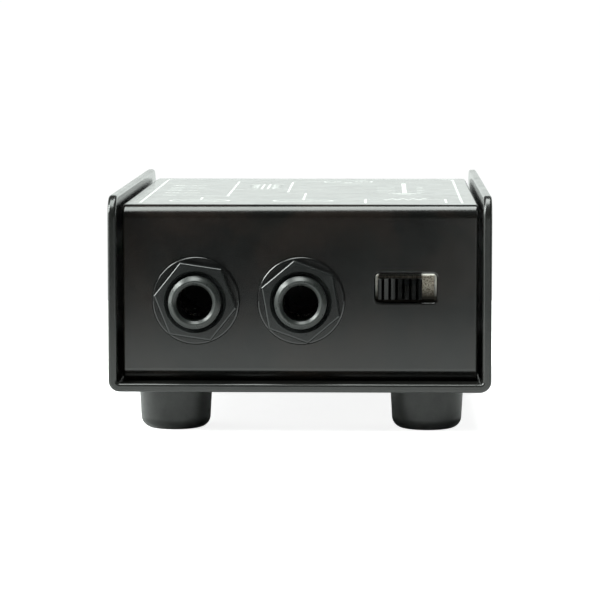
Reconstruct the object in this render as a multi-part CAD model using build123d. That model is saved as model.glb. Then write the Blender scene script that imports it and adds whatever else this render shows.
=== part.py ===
from build123d import *
import math
import os

# A passive direct injection box. An instrument plugs into one of two 6.35 mm jacks on the front,
# a transformer isolates and balances the signal, and it leaves by a 3-pin male XLR at the rear.
# A slide switch beside the jacks lifts the signal ground. A folded cover carries all the works and
# stands in a folded tray whose side walls rise a little above it. Four screws through the rubber
# feet hold the tray to the cover's bottom flanges.
#
# Millimetres. +X is to the right as seen from the jacks, +Y runs from the jacks to the rear, and
# +Z is up. The origin is the middle of the bounding box's bottom, on the surface the feet stand on.

# ---- Driving sizes ---------------------------------------------------------------------------

# Tray: floor and two side walls, folded from one sheet
CASE_WIDTH = 70.0
CASE_DEPTH = 100.0
TRAY_HEIGHT = 35.85
TRAY_SHEET = 1.6
TRAY_INNER_BEND = 0.5
WALL_CORNER_RADIUS = 4.0
TRAY_EDGE_FILLET = 0.5

# Cover: top, two end panels and two bottom flanges, folded from one sheet
COVER_SHEET = 1.2
COVER_INNER_BEND = 1.2
COVER_SIDE_GAP = 0.8
COVER_EDGE_FILLET = 0.45
PANEL_SETBACK = 4.0
WALL_RISE = 1.8
FLANGE_LENGTH = 15.0

# Rubber feet and the screws through them
FOOT_HEIGHT = 7.9
FOOT_TOP_DIAMETER = 13.6
FOOT_BOTTOM_DIAMETER = 12.7
FOOT_BOTTOM_FILLET = 2.1
FOOT_RECESS_DIAMETER = 6.4
FOOT_RECESS_DEPTH = 4.6
FOOT_INSET_X = 11.6
FOOT_INSET_Y = 12.5
FOOT_WASHER_THICKNESS = 0.8
SCREW_DIAMETER = 3.0
SCREW_HOLE_CLEARANCE = 0.4
SCREW_HEAD_DIAMETER = 5.6
SCREW_HEAD_HEIGHT = 2.0
FOOT_SCREW_END = 1.2
CLINCH_NUT_DIAMETER = 6.3
CLINCH_NUT_HEIGHT = 1.6
CLINCH_NUT_COLLAR_DIAMETER = 4.2
CLINCH_NUT_COLLAR_SHORT = 0.1
CROSS_RECESS_WIDTH = 0.8
CROSS_RECESS_SHARE = 0.62
CROSS_RECESS_DEPTH = 1.1
THREAD_CLEARANCE = 0.02

# Jacks: two the same, side by side in the front panel
JACK_CENTRES_X = (-19.1, 0.2)
JACK_CENTRE_HEIGHT = 16.5
JACK_BORE_RADIUS = 3.3
JACK_CHAMBER_RADIUS = 3.6
JACK_REACH = 6.0
BUSHING_RADIUS = 4.75
BUSHING_LEAD = 1.5
BUSHING_CHAMFER = 0.65
BUSHING_MOUTH_CHAMFER = 0.5
BUSHING_CREST_FILLET = 0.28
THREAD_PITCH = 0.8
THREAD_DEPTH = 0.4
JACK_BODY_WIDTH = 15.4
JACK_BODY_HEIGHT = 14.8
JACK_BODY_LENGTH = 27.0
JACK_BODY_CORNER = 0.8
JACK_BODY_CHAMFER = 0.6
PLUG_DEPTH = 25.6
JACK_WASHER_RADIUS = 8.1
JACK_WASHER_THICKNESS = 0.8
JACK_WASHER_EDGE = 0.4
JACK_NUT_FLATS = 13.4
JACK_NUT_THICKNESS = 2.4
JACK_NUT_EDGE = 0.4
JACK_NUT_COUNTERSINK = 0.9
JACK_NUT_TURNS = (51.5, 40.0)
PANEL_HOLE_CLEARANCE = 0.15
SLEEVE_RING_WALL = 0.45
SLEEVE_RING_START = 4.0
SLEEVE_RING_LENGTH = 4.0
TERMINAL_WIDTH = 1.6
TERMINAL_THICKNESS = 0.4
TERMINAL_SLOT_CLEARANCE = 0.1
TIP_SPRING_WIDTH = 3.6
TIP_SPRING_THICKNESS = 0.3
TIP_SPRING_HEIGHT = 5.2
TIP_HINGE_DEPTH = 11.4
TIP_VEE_DEPTH = 20.8
TIP_VEE_HEIGHT = 2.4
TIP_END_DEPTH = 23.8
TIP_END_HEIGHT = 4.2
TIP_ROOT_GAP = 0.05
TIP_SLOT_SIDE_GAP = 0.6
TIP_SLOT_ROOF = 6.7
TIP_SLOT_FRONT = 9.6

# Slide switch, behind a window in the front panel
SWITCH_X = 19.4
SWITCH_HEIGHT = 18.85
SWITCH_TRAVEL = 2.2
WINDOW_WIDTH = 11.2
WINDOW_HEIGHT = 5.25
WINDOW_CORNER = 0.7
WINDOW_EDGE_FILLET = 0.4
KNOB_WIDTH = 8.1
KNOB_HEIGHT = 3.85
KNOB_REACH = 2.4
KNOB_NECK_WIDTH = 3.4
KNOB_NECK_HEIGHT = 3.0
KNOB_CLEARANCE = 0.12
KNOB_EDGE_FILLET = 0.2
KNOB_DISH = 0.45
KNOB_RIB_COUNT = 6
KNOB_RIB_PITCH = 1.25
KNOB_GROOVE_WIDTH = 0.55
KNOB_GROOVE_DEPTH = 0.55
FRAME_WIDTH = 15.2
FRAME_HEIGHT = 7.8
FRAME_DEPTH = 6.2
FRAME_SHEET = 0.5
FRAME_PANEL_GAP = 0.1
CARRIAGE_WIDTH = 10.8
CARRIAGE_HEIGHT = 5.6
CARRIAGE_DEPTH = 2.2
BASE_THICKNESS = 1.2
SWITCH_ROW_SPACING = 3.2
SWITCH_COLUMN_SPACING = 4.0
SWITCH_PAD_THICKNESS = 0.3
SWITCH_PIN_WIDTH = 0.9
SWITCH_PIN_THICKNESS = 0.35
SWITCH_PAD_HALF_HEIGHT = 0.8
SWITCH_LEG_REACH = 1.0
SWITCH_LOWER_ROW_STEP = 2.2
WIPER_THICKNESS = 0.25
WIPER_WIDTH = 1.4
WIPER_GAP = 0.08
WIPER_SLOPE = 1.0
WIPER_TOE = 0.6
WIPER_BEND = 0.3

# Circuit board, above the jacks with its parts on both sides
BOARD_THICKNESS = 1.6
BOARD_JACK_GAP = 0.1
BOARD_SIDE_GAP = 2.0
BOARD_PANEL_GAP = 1.0
BOARD_REAR_MARGIN = 8.5
BOARD_CORNER = 1.0
BOARD_HOLE_CLEARANCE = 0.15
PIN_STANDOUT = 1.2
PART_STANDOFF = 0.1

# Transformer, hanging under the board behind the jacks
CORE_WIDTH = 22.0
CORE_HEIGHT = 17.4
CORE_STACK = 9.0
CORE_LIMB = 3.6
WINDING_GAP = 0.35
BOBBIN_WALL = 0.8
WINDING_BULGE = 3.2
WINDING_STEP = 0.4
COIL_CORNER = 1.2
PIN_RAIL = 2.6
PIN_RAIL_END = 1.5
CORE_RAIL_GAP = 0.3
TRANSFORMER_PIN_RADIUS = 0.4
TRANSFORMER_PIN_PITCH = 5.0
CLAMP_SHEET = 0.6
CLAMP_WIDTH = 6.0
TRANSFORMER_JACK_GAP = 3.0

# Small parts on top of the board
RESISTOR_LENGTH = 6.3
RESISTOR_RADIUS = 1.15
RESISTOR_PITCH = 4.0
RESISTOR_COUNT = 3
LEAD_RADIUS = 0.28
LEAD_SPAN = 10.0
LEAD_BEND_RADIUS = 0.8
CAPACITOR_SIZE = (7.2, 3.0, 5.6)
CAPACITOR_EDGE = 0.4
CAPACITOR_LEAD_PITCH = 5.0

# XLR output, in the rear panel with its flange lying on its side
XLR_CENTRE_HEIGHT = 17.8
XLR_FLANGE_WIDTH = 31.0
XLR_FLANGE_HEIGHT = 26.0
XLR_FLANGE_THICKNESS = 2.0
XLR_FLANGE_CORNER = 3.0
XLR_FLANGE_EDGE = 0.5
XLR_RIM_RADIUS = 9.9
XLR_RIM_HEIGHT = 0.8
XLR_RIM_EDGE = 0.35
XLR_MOUTH_CHAMFER = 0.3
XLR_BODY_RADIUS = 11.7
XLR_CUP_RADIUS = 8.15
XLR_CUP_DEPTH = 14.7
XLR_BODY_DEPTH = 19.0
XLR_INSERT_CLEARANCE = 0.03
XLR_INSERT_LIP = 0.7
XLR_PIN_RADIUS = 1.2
XLR_PIN_NECK_RADIUS = 1.0
XLR_PIN_CIRCLE_RADIUS = 3.9
XLR_PIN_ANGLES = (60.0, 180.0, 300.0)
XLR_INSERT_OVERHANG = 1.5
XLR_PIN_RECESS = 2.6
XLR_PIN_TIP_FILLET = 0.9
XLR_SOLDER_CUP_LENGTH = 4.5
XLR_SOLDER_CUP_DEPTH = 3.0
XLR_SCREW_SPACING_X = 24.0
XLR_SCREW_SPACING_Z = 19.0
XLR_SCREW_LENGTH = 8.0
XLR_NUT_FLATS = 5.5
XLR_NUT_THICKNESS = 2.4
LATCH_NOTCH_WIDTH = 4.4
LATCH_NOTCH_LENGTH = 3.2
LATCH_NOTCH_DEPTH = 1.3
LATCH_NOTCH_INSET = 4.0
LATCH_NOTCH_START = 0.8
COUNTERSINK_CLEARANCE = 0.1

# Wires from the board to the XLR
WIRE_RADIUS = 0.75
WIRE_CORE_RADIUS = 0.3
WIRE_CUP_DEPTH = 1.0
WIRE_CUP_CLEARANCE = 0.05
WIRE_BEND_SHARE = 0.8
WIRE_EDGE_INSET = 2.5
WIRE_ROW_SPACING = 3.0

# ---- Places worked out from the driving sizes --------------------------------------------------

tray_bottom = FOOT_HEIGHT
floor_top = tray_bottom + TRAY_SHEET
wall_top = tray_bottom + TRAY_HEIGHT
cover_top = wall_top - WALL_RISE

front_overhang = max(0.0, JACK_REACH - PANEL_SETBACK)
tray_front = -(CASE_DEPTH + front_overhang) / 2 + front_overhang
tray_rear = tray_front + CASE_DEPTH
panel_front = tray_front + PANEL_SETBACK
panel_rear = tray_rear - PANEL_SETBACK
cover_width = CASE_WIDTH - 2 * (TRAY_SHEET + COVER_SIDE_GAP)

foot_x = CASE_WIDTH / 2 - FOOT_INSET_X
foot_centres = {
    "front_left": (-foot_x, tray_front + FOOT_INSET_Y),
    "front_right": (foot_x, tray_front + FOOT_INSET_Y),
    "rear_left": (-foot_x, tray_rear - FOOT_INSET_Y),
    "rear_right": (foot_x, tray_rear - FOOT_INSET_Y),
}
flange_top = floor_top + COVER_SHEET

jack_z = tray_bottom + JACK_CENTRE_HEIGHT
switch_z = tray_bottom + SWITCH_HEIGHT
xlr_z = tray_bottom + XLR_CENTRE_HEIGHT

board_bottom = jack_z + JACK_BODY_HEIGHT / 2 + BOARD_JACK_GAP
board_top = board_bottom + BOARD_THICKNESS
jack_rear = panel_front + COVER_SHEET + JACK_BODY_LENGTH
coil_half_depth = CORE_STACK / 2 + WINDING_BULGE
transformer_y = jack_rear + TRANSFORMER_JACK_GAP + coil_half_depth
board_front = panel_front + COVER_SHEET + BOARD_PANEL_GAP
board_rear = transformer_y + coil_half_depth + BOARD_REAR_MARGIN
board_half_width = cover_width / 2 - BOARD_SIDE_GAP

knob_rest_x = SWITCH_X - SWITCH_TRAVEL / 2
frame_front = COVER_SHEET + FRAME_PANEL_GAP
frame_rear = frame_front + FRAME_DEPTH
carriage_front = frame_front + FRAME_SHEET + KNOB_CLEARANCE

xlr_body_rear = -XLR_BODY_DEPTH
xlr_insert_back = xlr_body_rear - XLR_INSERT_OVERHANG
xlr_cup_floor = XLR_FLANGE_THICKNESS + XLR_RIM_HEIGHT - XLR_CUP_DEPTH


def box_between(low, high):
    """A box from its lowest corner to its highest corner."""
    size = [b - a for a, b in zip(low, high)]
    centre = [(a + b) / 2 for a, b in zip(low, high)]
    return Pos(*centre) * Box(*size)


def rod_y(radius, start, end, x=0.0, z=0.0):
    """A cylinder along Y from start to end."""
    return Pos(x, (start + end) / 2, z) * Rot(90, 0, 0) * Cylinder(radius, end - start)


def rod_z(radius, low, high, x=0.0, y=0.0):
    """A cylinder along Z from low to high."""
    return Pos(x, y, (low + high) / 2) * Cylinder(radius, high - low)


def turned_y(points):
    """A solid of revolution about Y, from (radius, y) corners."""
    return revolve(make_face(Polyline(*points, close=True)), axis=Axis.Y)


def turned_z(points):
    """A solid of revolution about Z, from (radius, z) corners."""
    face = make_face(Plane.XZ * Polyline(*points, close=True))
    return revolve(face, axis=Axis.Z)


def strip(points, thickness, width):
    """A bent strip, centred on X, that follows (y, z) points."""
    line = FilletPolyline(*points, radius=1.5 * thickness)
    return extrude(Plane.YZ * trace(line, thickness), width / 2, both=True)


def save(shape, node):
    """Writes one node's STEP file."""
    export_step(shape, os.path.join("parts", node + ".step"))


# ---- Case --------------------------------------------------------------------------------------


def tray():
    outer_bend = TRAY_INNER_BEND + TRAY_SHEET
    outer = Pos(0, tray_bottom + TRAY_HEIGHT / 2) * Rectangle(CASE_WIDTH, TRAY_HEIGHT)
    outer = fillet(outer.vertices().sort_by(Axis.Y)[:2], outer_bend)
    inner_height = TRAY_HEIGHT - TRAY_SHEET
    inner = Pos(0, floor_top + inner_height / 2)
    inner *= Rectangle(CASE_WIDTH - 2 * TRAY_SHEET, inner_height)
    inner = fillet(inner.vertices().sort_by(Axis.Y)[:2], TRAY_INNER_BEND)
    body = extrude(Plane.XZ.offset(-tray_rear) * (outer - inner), CASE_DEPTH)
    top_corners = [
        e
        for e in body.edges().filter_by(Axis.X)
        if e.length < 2 * TRAY_SHEET and e.center().Z > wall_top - 0.01
    ]
    body = fillet(top_corners, WALL_CORNER_RADIUS)
    for x, y in foot_centres.values():
        radius = (SCREW_DIAMETER + SCREW_HOLE_CLEARANCE) / 2
        body -= rod_z(radius, tray_bottom - 1, floor_top + 1, x, y)
    rims = [e for e in body.edges() if is_tray_rim(e, outer_bend)]
    return fillet(rims, TRAY_EDGE_FILLET)


def is_tray_rim(edge, outer_bend):
    """True for the edges where the sheet was cut, and not for its folds or screw holes."""
    centre = edge.center()
    at_end = min(centre.Y - tray_front, tray_rear - centre.Y) < WALL_CORNER_RADIUS
    at_top = centre.Z > wall_top - WALL_CORNER_RADIUS
    across_sheet = edge.length < 1.05 * TRAY_SHEET and abs(edge.tangent_at(0.5).X) > 0.99
    return (at_end or at_top) and not across_sheet


def cover():
    depth = panel_rear - panel_front
    height = cover_top - floor_top
    centre = Pos((panel_front + panel_rear) / 2, (cover_top + floor_top) / 2)
    outer = centre * Rectangle(depth, height)
    outer = fillet(outer.vertices(), COVER_INNER_BEND + COVER_SHEET)
    inner = centre * Rectangle(depth - 2 * COVER_SHEET, height - 2 * COVER_SHEET)
    inner = fillet(inner.vertices(), COVER_INNER_BEND)
    gap = Pos((panel_front + panel_rear) / 2, floor_top)
    gap *= Rectangle(depth - 2 * FLANGE_LENGTH, 4 * COVER_SHEET)
    body = extrude(Plane.YZ * (outer - inner - gap), cover_width / 2, both=True)
    side_edges = [e for e in body.edges() if abs(e.center().X) > cover_width / 2 - 0.01]
    body = fillet(side_edges, COVER_EDGE_FILLET)

    for x in JACK_CENTRES_X:
        radius = BUSHING_RADIUS + PANEL_HOLE_CLEARANCE
        body -= rod_y(radius, panel_front - 1, panel_front + COVER_SHEET + 1, x, jack_z)
    body = cut_switch_window(body)

    rear_face = (panel_rear - COVER_SHEET - 1, panel_rear + 1)
    body -= rod_y(XLR_BODY_RADIUS + PANEL_HOLE_CLEARANCE, *rear_face, 0, xlr_z)
    for x, z in xlr_screw_centres():
        radius = (SCREW_DIAMETER + SCREW_HOLE_CLEARANCE) / 2
        body -= rod_y(radius, *rear_face, x, z)
    for x, y in foot_centres.values():
        body -= rod_z(CLINCH_NUT_COLLAR_DIAMETER / 2, floor_top - 1, flange_top + 1, x, y)
    return body


def cut_switch_window(body):
    """Cuts the slide switch's window and rounds its outer edge."""
    window = Pos(SWITCH_X, switch_z) * RectangleRounded(WINDOW_WIDTH, WINDOW_HEIGHT, WINDOW_CORNER)
    behind = Plane.XZ.offset(-panel_front - 2 * COVER_SHEET)
    body -= extrude(behind * window, 3 * COVER_SHEET)
    rim = [
        e
        for e in body.edges()
        if abs(e.center().Y - panel_front) < 0.01
        and abs(e.center().X - SWITCH_X) < WINDOW_WIDTH / 2 + 0.1
        and abs(e.center().Z - switch_z) < WINDOW_HEIGHT / 2 + 0.1
    ]
    return fillet(rim, WINDOW_EDGE_FILLET)


# ---- Feet and their screws -------------------------------------------------------------------


def foot():
    """A rubber foot standing at the origin."""
    bottom, top = FOOT_BOTTOM_DIAMETER / 2, FOOT_TOP_DIAMETER / 2
    body = turned_z([(0, 0), (bottom, 0), (top, FOOT_HEIGHT), (0, FOOT_HEIGHT)])
    body = fillet(body.edges().sort_by(Axis.Z)[:1], FOOT_BOTTOM_FILLET)
    body -= rod_z(FOOT_RECESS_DIAMETER / 2, -1, FOOT_RECESS_DEPTH)
    seat_radius = FOOT_RECESS_DIAMETER / 2
    body -= rod_z(seat_radius, -1, FOOT_RECESS_DEPTH + FOOT_WASHER_THICKNESS)
    hole_radius = (SCREW_DIAMETER + SCREW_HOLE_CLEARANCE) / 2
    return body - rod_z(hole_radius, -1, FOOT_HEIGHT + 1)


def foot_washer():
    radius = FOOT_RECESS_DIAMETER / 2
    low, high = FOOT_RECESS_DEPTH, FOOT_RECESS_DEPTH + FOOT_WASHER_THICKNESS
    hole_radius = (SCREW_DIAMETER + SCREW_HOLE_CLEARANCE) / 2
    return rod_z(radius, low, high) - rod_z(hole_radius, low - 1, high + 1)


def pan_screw(seat, tip):
    """A cross-recess pan-head screw pointing up, its head under the seat height."""
    head_radius = SCREW_HEAD_DIAMETER / 2
    low = seat - SCREW_HEAD_HEIGHT
    head = rod_z(head_radius, low, seat)
    head = fillet(head.edges().sort_by(Axis.Z)[:1], SCREW_HEAD_HEIGHT / 2)
    shank = rod_z(SCREW_DIAMETER / 2 - THREAD_CLEARANCE, seat, tip)
    slot = Box(SCREW_HEAD_DIAMETER * CROSS_RECESS_SHARE, CROSS_RECESS_WIDTH, 2 * CROSS_RECESS_DEPTH)
    slot = Pos(0, 0, low) * (slot + Rot(0, 0, 90) * slot)
    return head + shank - slot


def clinch_nut():
    """A nut pressed into the cover's flange, standing on it, with its collar in the flange's hole."""
    nut = rod_z(CLINCH_NUT_DIAMETER / 2, flange_top, flange_top + CLINCH_NUT_HEIGHT)
    collar_radius = CLINCH_NUT_COLLAR_DIAMETER / 2 - THREAD_CLEARANCE
    nut += rod_z(collar_radius, floor_top + CLINCH_NUT_COLLAR_SHORT, flange_top)
    return nut - rod_z(SCREW_DIAMETER / 2, floor_top - 1, flange_top + CLINCH_NUT_HEIGHT + 1)


# ---- Jacks -------------------------------------------------------------------------------------
# Each piece is made about the jack's axis, with Y running inwards from the panel's outer face.


def bushing():
    """The threaded bushing, solid, with ring-shaped threads."""
    points = [
        (0, -JACK_REACH),
        (BUSHING_RADIUS - BUSHING_CHAMFER, -JACK_REACH),
        (BUSHING_RADIUS, -JACK_REACH + BUSHING_CHAMFER),
    ]
    thread_end = -JACK_REACH + BUSHING_LEAD
    turns = int((COVER_SHEET - thread_end) / THREAD_PITCH)
    for turn in range(turns):
        y = thread_end + turn * THREAD_PITCH
        points += [
            (BUSHING_RADIUS, y),
            (BUSHING_RADIUS - THREAD_DEPTH, y + 0.4 * THREAD_PITCH),
            (BUSHING_RADIUS, y + 0.8 * THREAD_PITCH),
        ]
    points += [(BUSHING_RADIUS, COVER_SHEET), (0, COVER_SHEET)]
    return turned_y(points)


def jack_housing():
    rear = COVER_SHEET + JACK_BODY_LENGTH
    half_width, half_height = JACK_BODY_WIDTH / 2, JACK_BODY_HEIGHT / 2
    body = box_between((-half_width, COVER_SHEET, -half_height), (half_width, rear, half_height))
    body = fillet(body.edges().filter_by(Axis.Y), JACK_BODY_CORNER)
    body = chamfer(body.faces().sort_by(Axis.Y)[-1].edges(), JACK_BODY_CHAMFER)
    body += bushing()
    body -= rod_y(JACK_BORE_RADIUS, -JACK_REACH - 1, SLEEVE_RING_START + 1)
    body -= rod_y(JACK_CHAMBER_RADIUS, SLEEVE_RING_START + SLEEVE_RING_LENGTH, PLUG_DEPTH)
    mouth = JACK_BORE_RADIUS + BUSHING_MOUTH_CHAMFER
    body -= turned_y(
        [
            (0, -JACK_REACH - 1),
            (mouth, -JACK_REACH - 1),
            (mouth, -JACK_REACH),
            (JACK_BORE_RADIUS, -JACK_REACH + BUSHING_MOUTH_CHAMFER),
            (0, -JACK_REACH + BUSHING_MOUTH_CHAMFER),
        ]
    )
    body = fillet(body.faces().sort_by(Axis.Y)[0].edges(), BUSHING_CREST_FILLET)
    ring_end = SLEEVE_RING_START + SLEEVE_RING_LENGTH
    body -= rod_y(JACK_BORE_RADIUS + SLEEVE_RING_WALL, SLEEVE_RING_START, ring_end)
    slot_half = TIP_SPRING_WIDTH / 2 + TIP_SLOT_SIDE_GAP
    body -= box_between((-slot_half, TIP_SLOT_FRONT, 0), (slot_half, PLUG_DEPTH, TIP_SLOT_ROOF))
    for depth, low in ((sleeve_terminal_depth(), 0), (tip_terminal_depth(), TIP_SPRING_HEIGHT)):
        body -= terminal_blank(depth, low, half_height + 1, TERMINAL_SLOT_CLEARANCE)
    return body


def sleeve_terminal_depth():
    return SLEEVE_RING_START + SLEEVE_RING_LENGTH / 2


def tip_terminal_depth():
    return TIP_HINGE_DEPTH - TIP_SPRING_THICKNESS - TERMINAL_THICKNESS / 2 - TIP_ROOT_GAP


def terminal_blank(depth, low, high, clearance=0.0):
    """A flat upright terminal, or with a clearance the slot it stands in."""
    half_width = TERMINAL_WIDTH / 2 + clearance
    half_thickness = TERMINAL_THICKNESS / 2 + clearance
    return box_between((-half_width, depth - half_thickness, low), (half_width, depth + half_thickness, high))


def terminal_tip():
    """How high the jack's terminals reach, from the jack's axis."""
    return board_top - jack_z + PIN_STANDOUT


def jack_sleeve_contact():
    end = SLEEVE_RING_START + SLEEVE_RING_LENGTH
    radius = JACK_BORE_RADIUS + SLEEVE_RING_WALL
    ring = rod_y(radius, SLEEVE_RING_START, end) + terminal_blank(sleeve_terminal_depth(), 0, terminal_tip())
    return ring - rod_y(JACK_BORE_RADIUS, SLEEVE_RING_START - 1, end + 1)


def jack_tip_terminal():
    """The fixed upright end of the tip contact, which passes up through the housing and the board."""
    low = TIP_SPRING_HEIGHT - TIP_SPRING_THICKNESS / 2
    return terminal_blank(tip_terminal_depth(), low, terminal_tip())


def jack_tip_spring():
    """The leaf that presses on the plug's tip. It turns about its rounded root."""
    leaf = strip(
        [
            (TIP_HINGE_DEPTH, TIP_SPRING_HEIGHT),
            (TIP_VEE_DEPTH - 3.6, TIP_SPRING_HEIGHT),
            (TIP_VEE_DEPTH, TIP_VEE_HEIGHT),
            (TIP_END_DEPTH, TIP_END_HEIGHT),
        ],
        TIP_SPRING_THICKNESS,
        TIP_SPRING_WIDTH,
    )
    root = Pos(0, TIP_HINGE_DEPTH, TIP_SPRING_HEIGHT) * Rot(0, 90, 0)
    return leaf + root * Cylinder(TIP_SPRING_THICKNESS, TIP_SPRING_WIDTH)


def jack_washer():
    hole = BUSHING_RADIUS + PANEL_HOLE_CLEARANCE
    washer = rod_y(JACK_WASHER_RADIUS, -JACK_WASHER_THICKNESS, 0)
    washer = fillet(washer.edges().sort_by(Axis.Y)[:1], JACK_WASHER_EDGE)
    return washer - rod_y(hole, -JACK_WASHER_THICKNESS - 1, 1)


def jack_nut(turn):
    back = JACK_WASHER_THICKNESS
    hexagon = RegularPolygon(JACK_NUT_FLATS / 2, 6, major_radius=False, rotation=turn)
    nut = extrude(Plane.XZ.offset(back) * hexagon, JACK_NUT_THICKNESS)
    front = -back - JACK_NUT_THICKNESS
    nut = fillet(nut.faces().sort_by(Axis.Y)[0].edges(), JACK_NUT_EDGE)
    bore = BUSHING_RADIUS + THREAD_CLEARANCE
    nut -= rod_y(bore, front - 1, 0)
    return nut - turned_y(
        [
            (0, front),
            (bore + JACK_NUT_COUNTERSINK, front),
            (bore, front + JACK_NUT_COUNTERSINK),
            (0, front + JACK_NUT_COUNTERSINK),
        ]
    )


def save_jack(number, x, nut_turn):
    place = Pos(x, panel_front, jack_z)
    save(place * jack_housing(), f"jack_{number}_housing")
    save(place * jack_washer(), f"jack_{number}_washer")
    save(place * jack_nut(nut_turn), f"jack_{number}_nut")
    save(place * jack_sleeve_contact(), f"jack_{number}_sleeve_contact")
    save(place * jack_tip_terminal(), f"jack_{number}_tip_terminal")
    save(place * jack_tip_spring(), f"jack_{number}_tip_spring")


# ---- Slide switch ------------------------------------------------------------------------------
# Each piece is made about the switch's centre, with Y running inwards from the panel's outer face.


def switch_frame():
    half_width, half_height = FRAME_WIDTH / 2, FRAME_HEIGHT / 2
    body = box_between((-half_width, frame_front, -half_height), (half_width, frame_rear, half_height))
    body = fillet(body.edges().filter_by(Axis.Y), FRAME_SHEET)
    inside = (half_width - FRAME_SHEET, half_height - FRAME_SHEET)
    body -= box_between(
        (-inside[0], frame_front + FRAME_SHEET, -inside[1]), (inside[0], frame_rear + 1, inside[1])
    )
    slot_x = (KNOB_NECK_WIDTH + SWITCH_TRAVEL) / 2 + KNOB_CLEARANCE
    slot_z = KNOB_NECK_HEIGHT / 2 + KNOB_CLEARANCE
    return body - box_between((-slot_x, frame_front - 1, -slot_z), (slot_x, frame_front + 1, slot_z))


def knob_groove():
    """The V-shaped cut between two ribs, its mouth at the origin and open towards the front."""
    half = KNOB_GROOVE_WIDTH / 2
    outline = Polyline(
        (-half, -KNOB_DISH), (half, -KNOB_DISH), (half, 0), (0, KNOB_GROOVE_DEPTH), (-half, 0), close=True
    )
    return extrude(make_face(outline), FRAME_HEIGHT / 2, both=True)


def switch_knob():
    """The ribbed and dished knob, and the neck that joins it to the carriage behind the frame."""
    half_width, half_height = KNOB_WIDTH / 2, KNOB_HEIGHT / 2
    back = frame_front - KNOB_CLEARANCE
    body = box_between((-half_width, -KNOB_REACH, -half_height), (half_width, back, half_height))
    body = fillet(body.faces().sort_by(Axis.Y)[0].edges(), KNOB_EDGE_FILLET)
    dish_radius = (half_width**2 + KNOB_DISH**2) / (2 * KNOB_DISH)
    dish = Pos(0, -KNOB_REACH + KNOB_DISH - dish_radius, 0) * Cylinder(dish_radius, FRAME_HEIGHT)
    body -= dish
    for groove in range(KNOB_RIB_COUNT):
        x = (groove - (KNOB_RIB_COUNT - 1) / 2) * KNOB_RIB_PITCH
        y = -KNOB_REACH + KNOB_DISH - (dish_radius - math.sqrt(dish_radius**2 - x**2))
        body -= Pos(x, y, 0) * knob_groove()
    neck_half = (KNOB_NECK_WIDTH / 2, KNOB_NECK_HEIGHT / 2)
    body += box_between((-neck_half[0], back, -neck_half[1]), (neck_half[0], carriage_front, neck_half[1]))
    carriage_half = (CARRIAGE_WIDTH / 2, CARRIAGE_HEIGHT / 2)
    return body + box_between(
        (-carriage_half[0], carriage_front, -carriage_half[1]),
        (carriage_half[0], carriage_front + CARRIAGE_DEPTH, carriage_half[1]),
    )


def switch_base():
    half_width, half_height = FRAME_WIDTH / 2, FRAME_HEIGHT / 2
    board = box_between(
        (-half_width, frame_rear, -half_height), (half_width, frame_rear + BASE_THICKNESS, half_height)
    )
    for x, z in switch_contact_places():
        board -= switch_pin_blank(x, z, THREAD_CLEARANCE)
    return board


def switch_contact_places():
    rows = (-SWITCH_ROW_SPACING / 2, SWITCH_ROW_SPACING / 2)
    return [(c * SWITCH_COLUMN_SPACING, z) for z in rows for c in (-1, 0, 1)]


def switch_pin_blank(x, z, clearance=0.0):
    """The stretch of a terminal that passes back through the base."""
    half = SWITCH_PIN_WIDTH / 2 + clearance
    thick = SWITCH_PIN_THICKNESS / 2 + clearance
    rear = frame_rear + BASE_THICKNESS + clearance
    return box_between((x - half, frame_rear - clearance, z - thick), (x + half, rear, z + thick))


def switch_terminals():
    """Six contacts: a pad in front of the base, and a leg that turns up to the board."""
    top = board_top + PIN_STANDOUT - switch_z
    pads = []
    for x, z in switch_contact_places():
        leg = turned_up_leg(frame_rear, switch_leg_depth(z), z, top)
        front = frame_rear - SWITCH_PAD_THICKNESS
        low, high = z - SWITCH_PAD_HALF_HEIGHT, z + SWITCH_PAD_HALF_HEIGHT
        pad = box_between((-SWITCH_PIN_WIDTH, front, low), (SWITCH_PIN_WIDTH, frame_rear, high))
        pads.append(Pos(x, 0, 0) * (leg + pad))
    return Compound(children=pads)


def switch_leg_depth(z):
    """How far back a leg turns up: the lower row's legs pass behind the upper row's."""
    step = SWITCH_LOWER_ROW_STEP if z < 0 else 0
    return frame_rear + BASE_THICKNESS + SWITCH_LEG_REACH + step


def turned_up_leg(front, bend, z, top):
    """A leg that runs back to the bend and then turns up."""
    half, thick = SWITCH_PIN_WIDTH / 2, SWITCH_PIN_THICKNESS / 2
    leg = box_between((-half, front, z - thick), (half, bend + thick, z + thick))
    leg += box_between((-half, bend - thick, z - thick), (half, bend + thick, top))
    heel = [e for e in leg.edges().filter_by(Axis.X) if e.center().Y > bend and e.center().Z < z]
    return fillet(heel, SWITCH_PIN_THICKNESS * 0.8)


def switch_wipers():
    """Two bowed strips on the carriage, each joining two neighbouring contacts of its row."""
    seat = carriage_front + CARRIAGE_DEPTH + WIPER_THICKNESS / 2
    touch = frame_rear - SWITCH_PAD_THICKNESS - WIPER_GAP - WIPER_THICKNESS / 2
    reach = SWITCH_COLUMN_SPACING / 2
    right_half = [(reach - WIPER_SLOPE, seat), (reach, touch), (reach + WIPER_TOE, touch - WIPER_TOE)]
    left_half = [(-x, y) for x, y in reversed(right_half)]
    bow = trace(FilletPolyline(*left_half, *right_half, radius=WIPER_BEND), WIPER_THICKNESS)
    strips = []
    for z in (-SWITCH_ROW_SPACING / 2, SWITCH_ROW_SPACING / 2):
        strips.append(Pos(0, 0, z) * extrude(bow, WIPER_WIDTH / 2, both=True))
    return Compound(children=strips)


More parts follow.
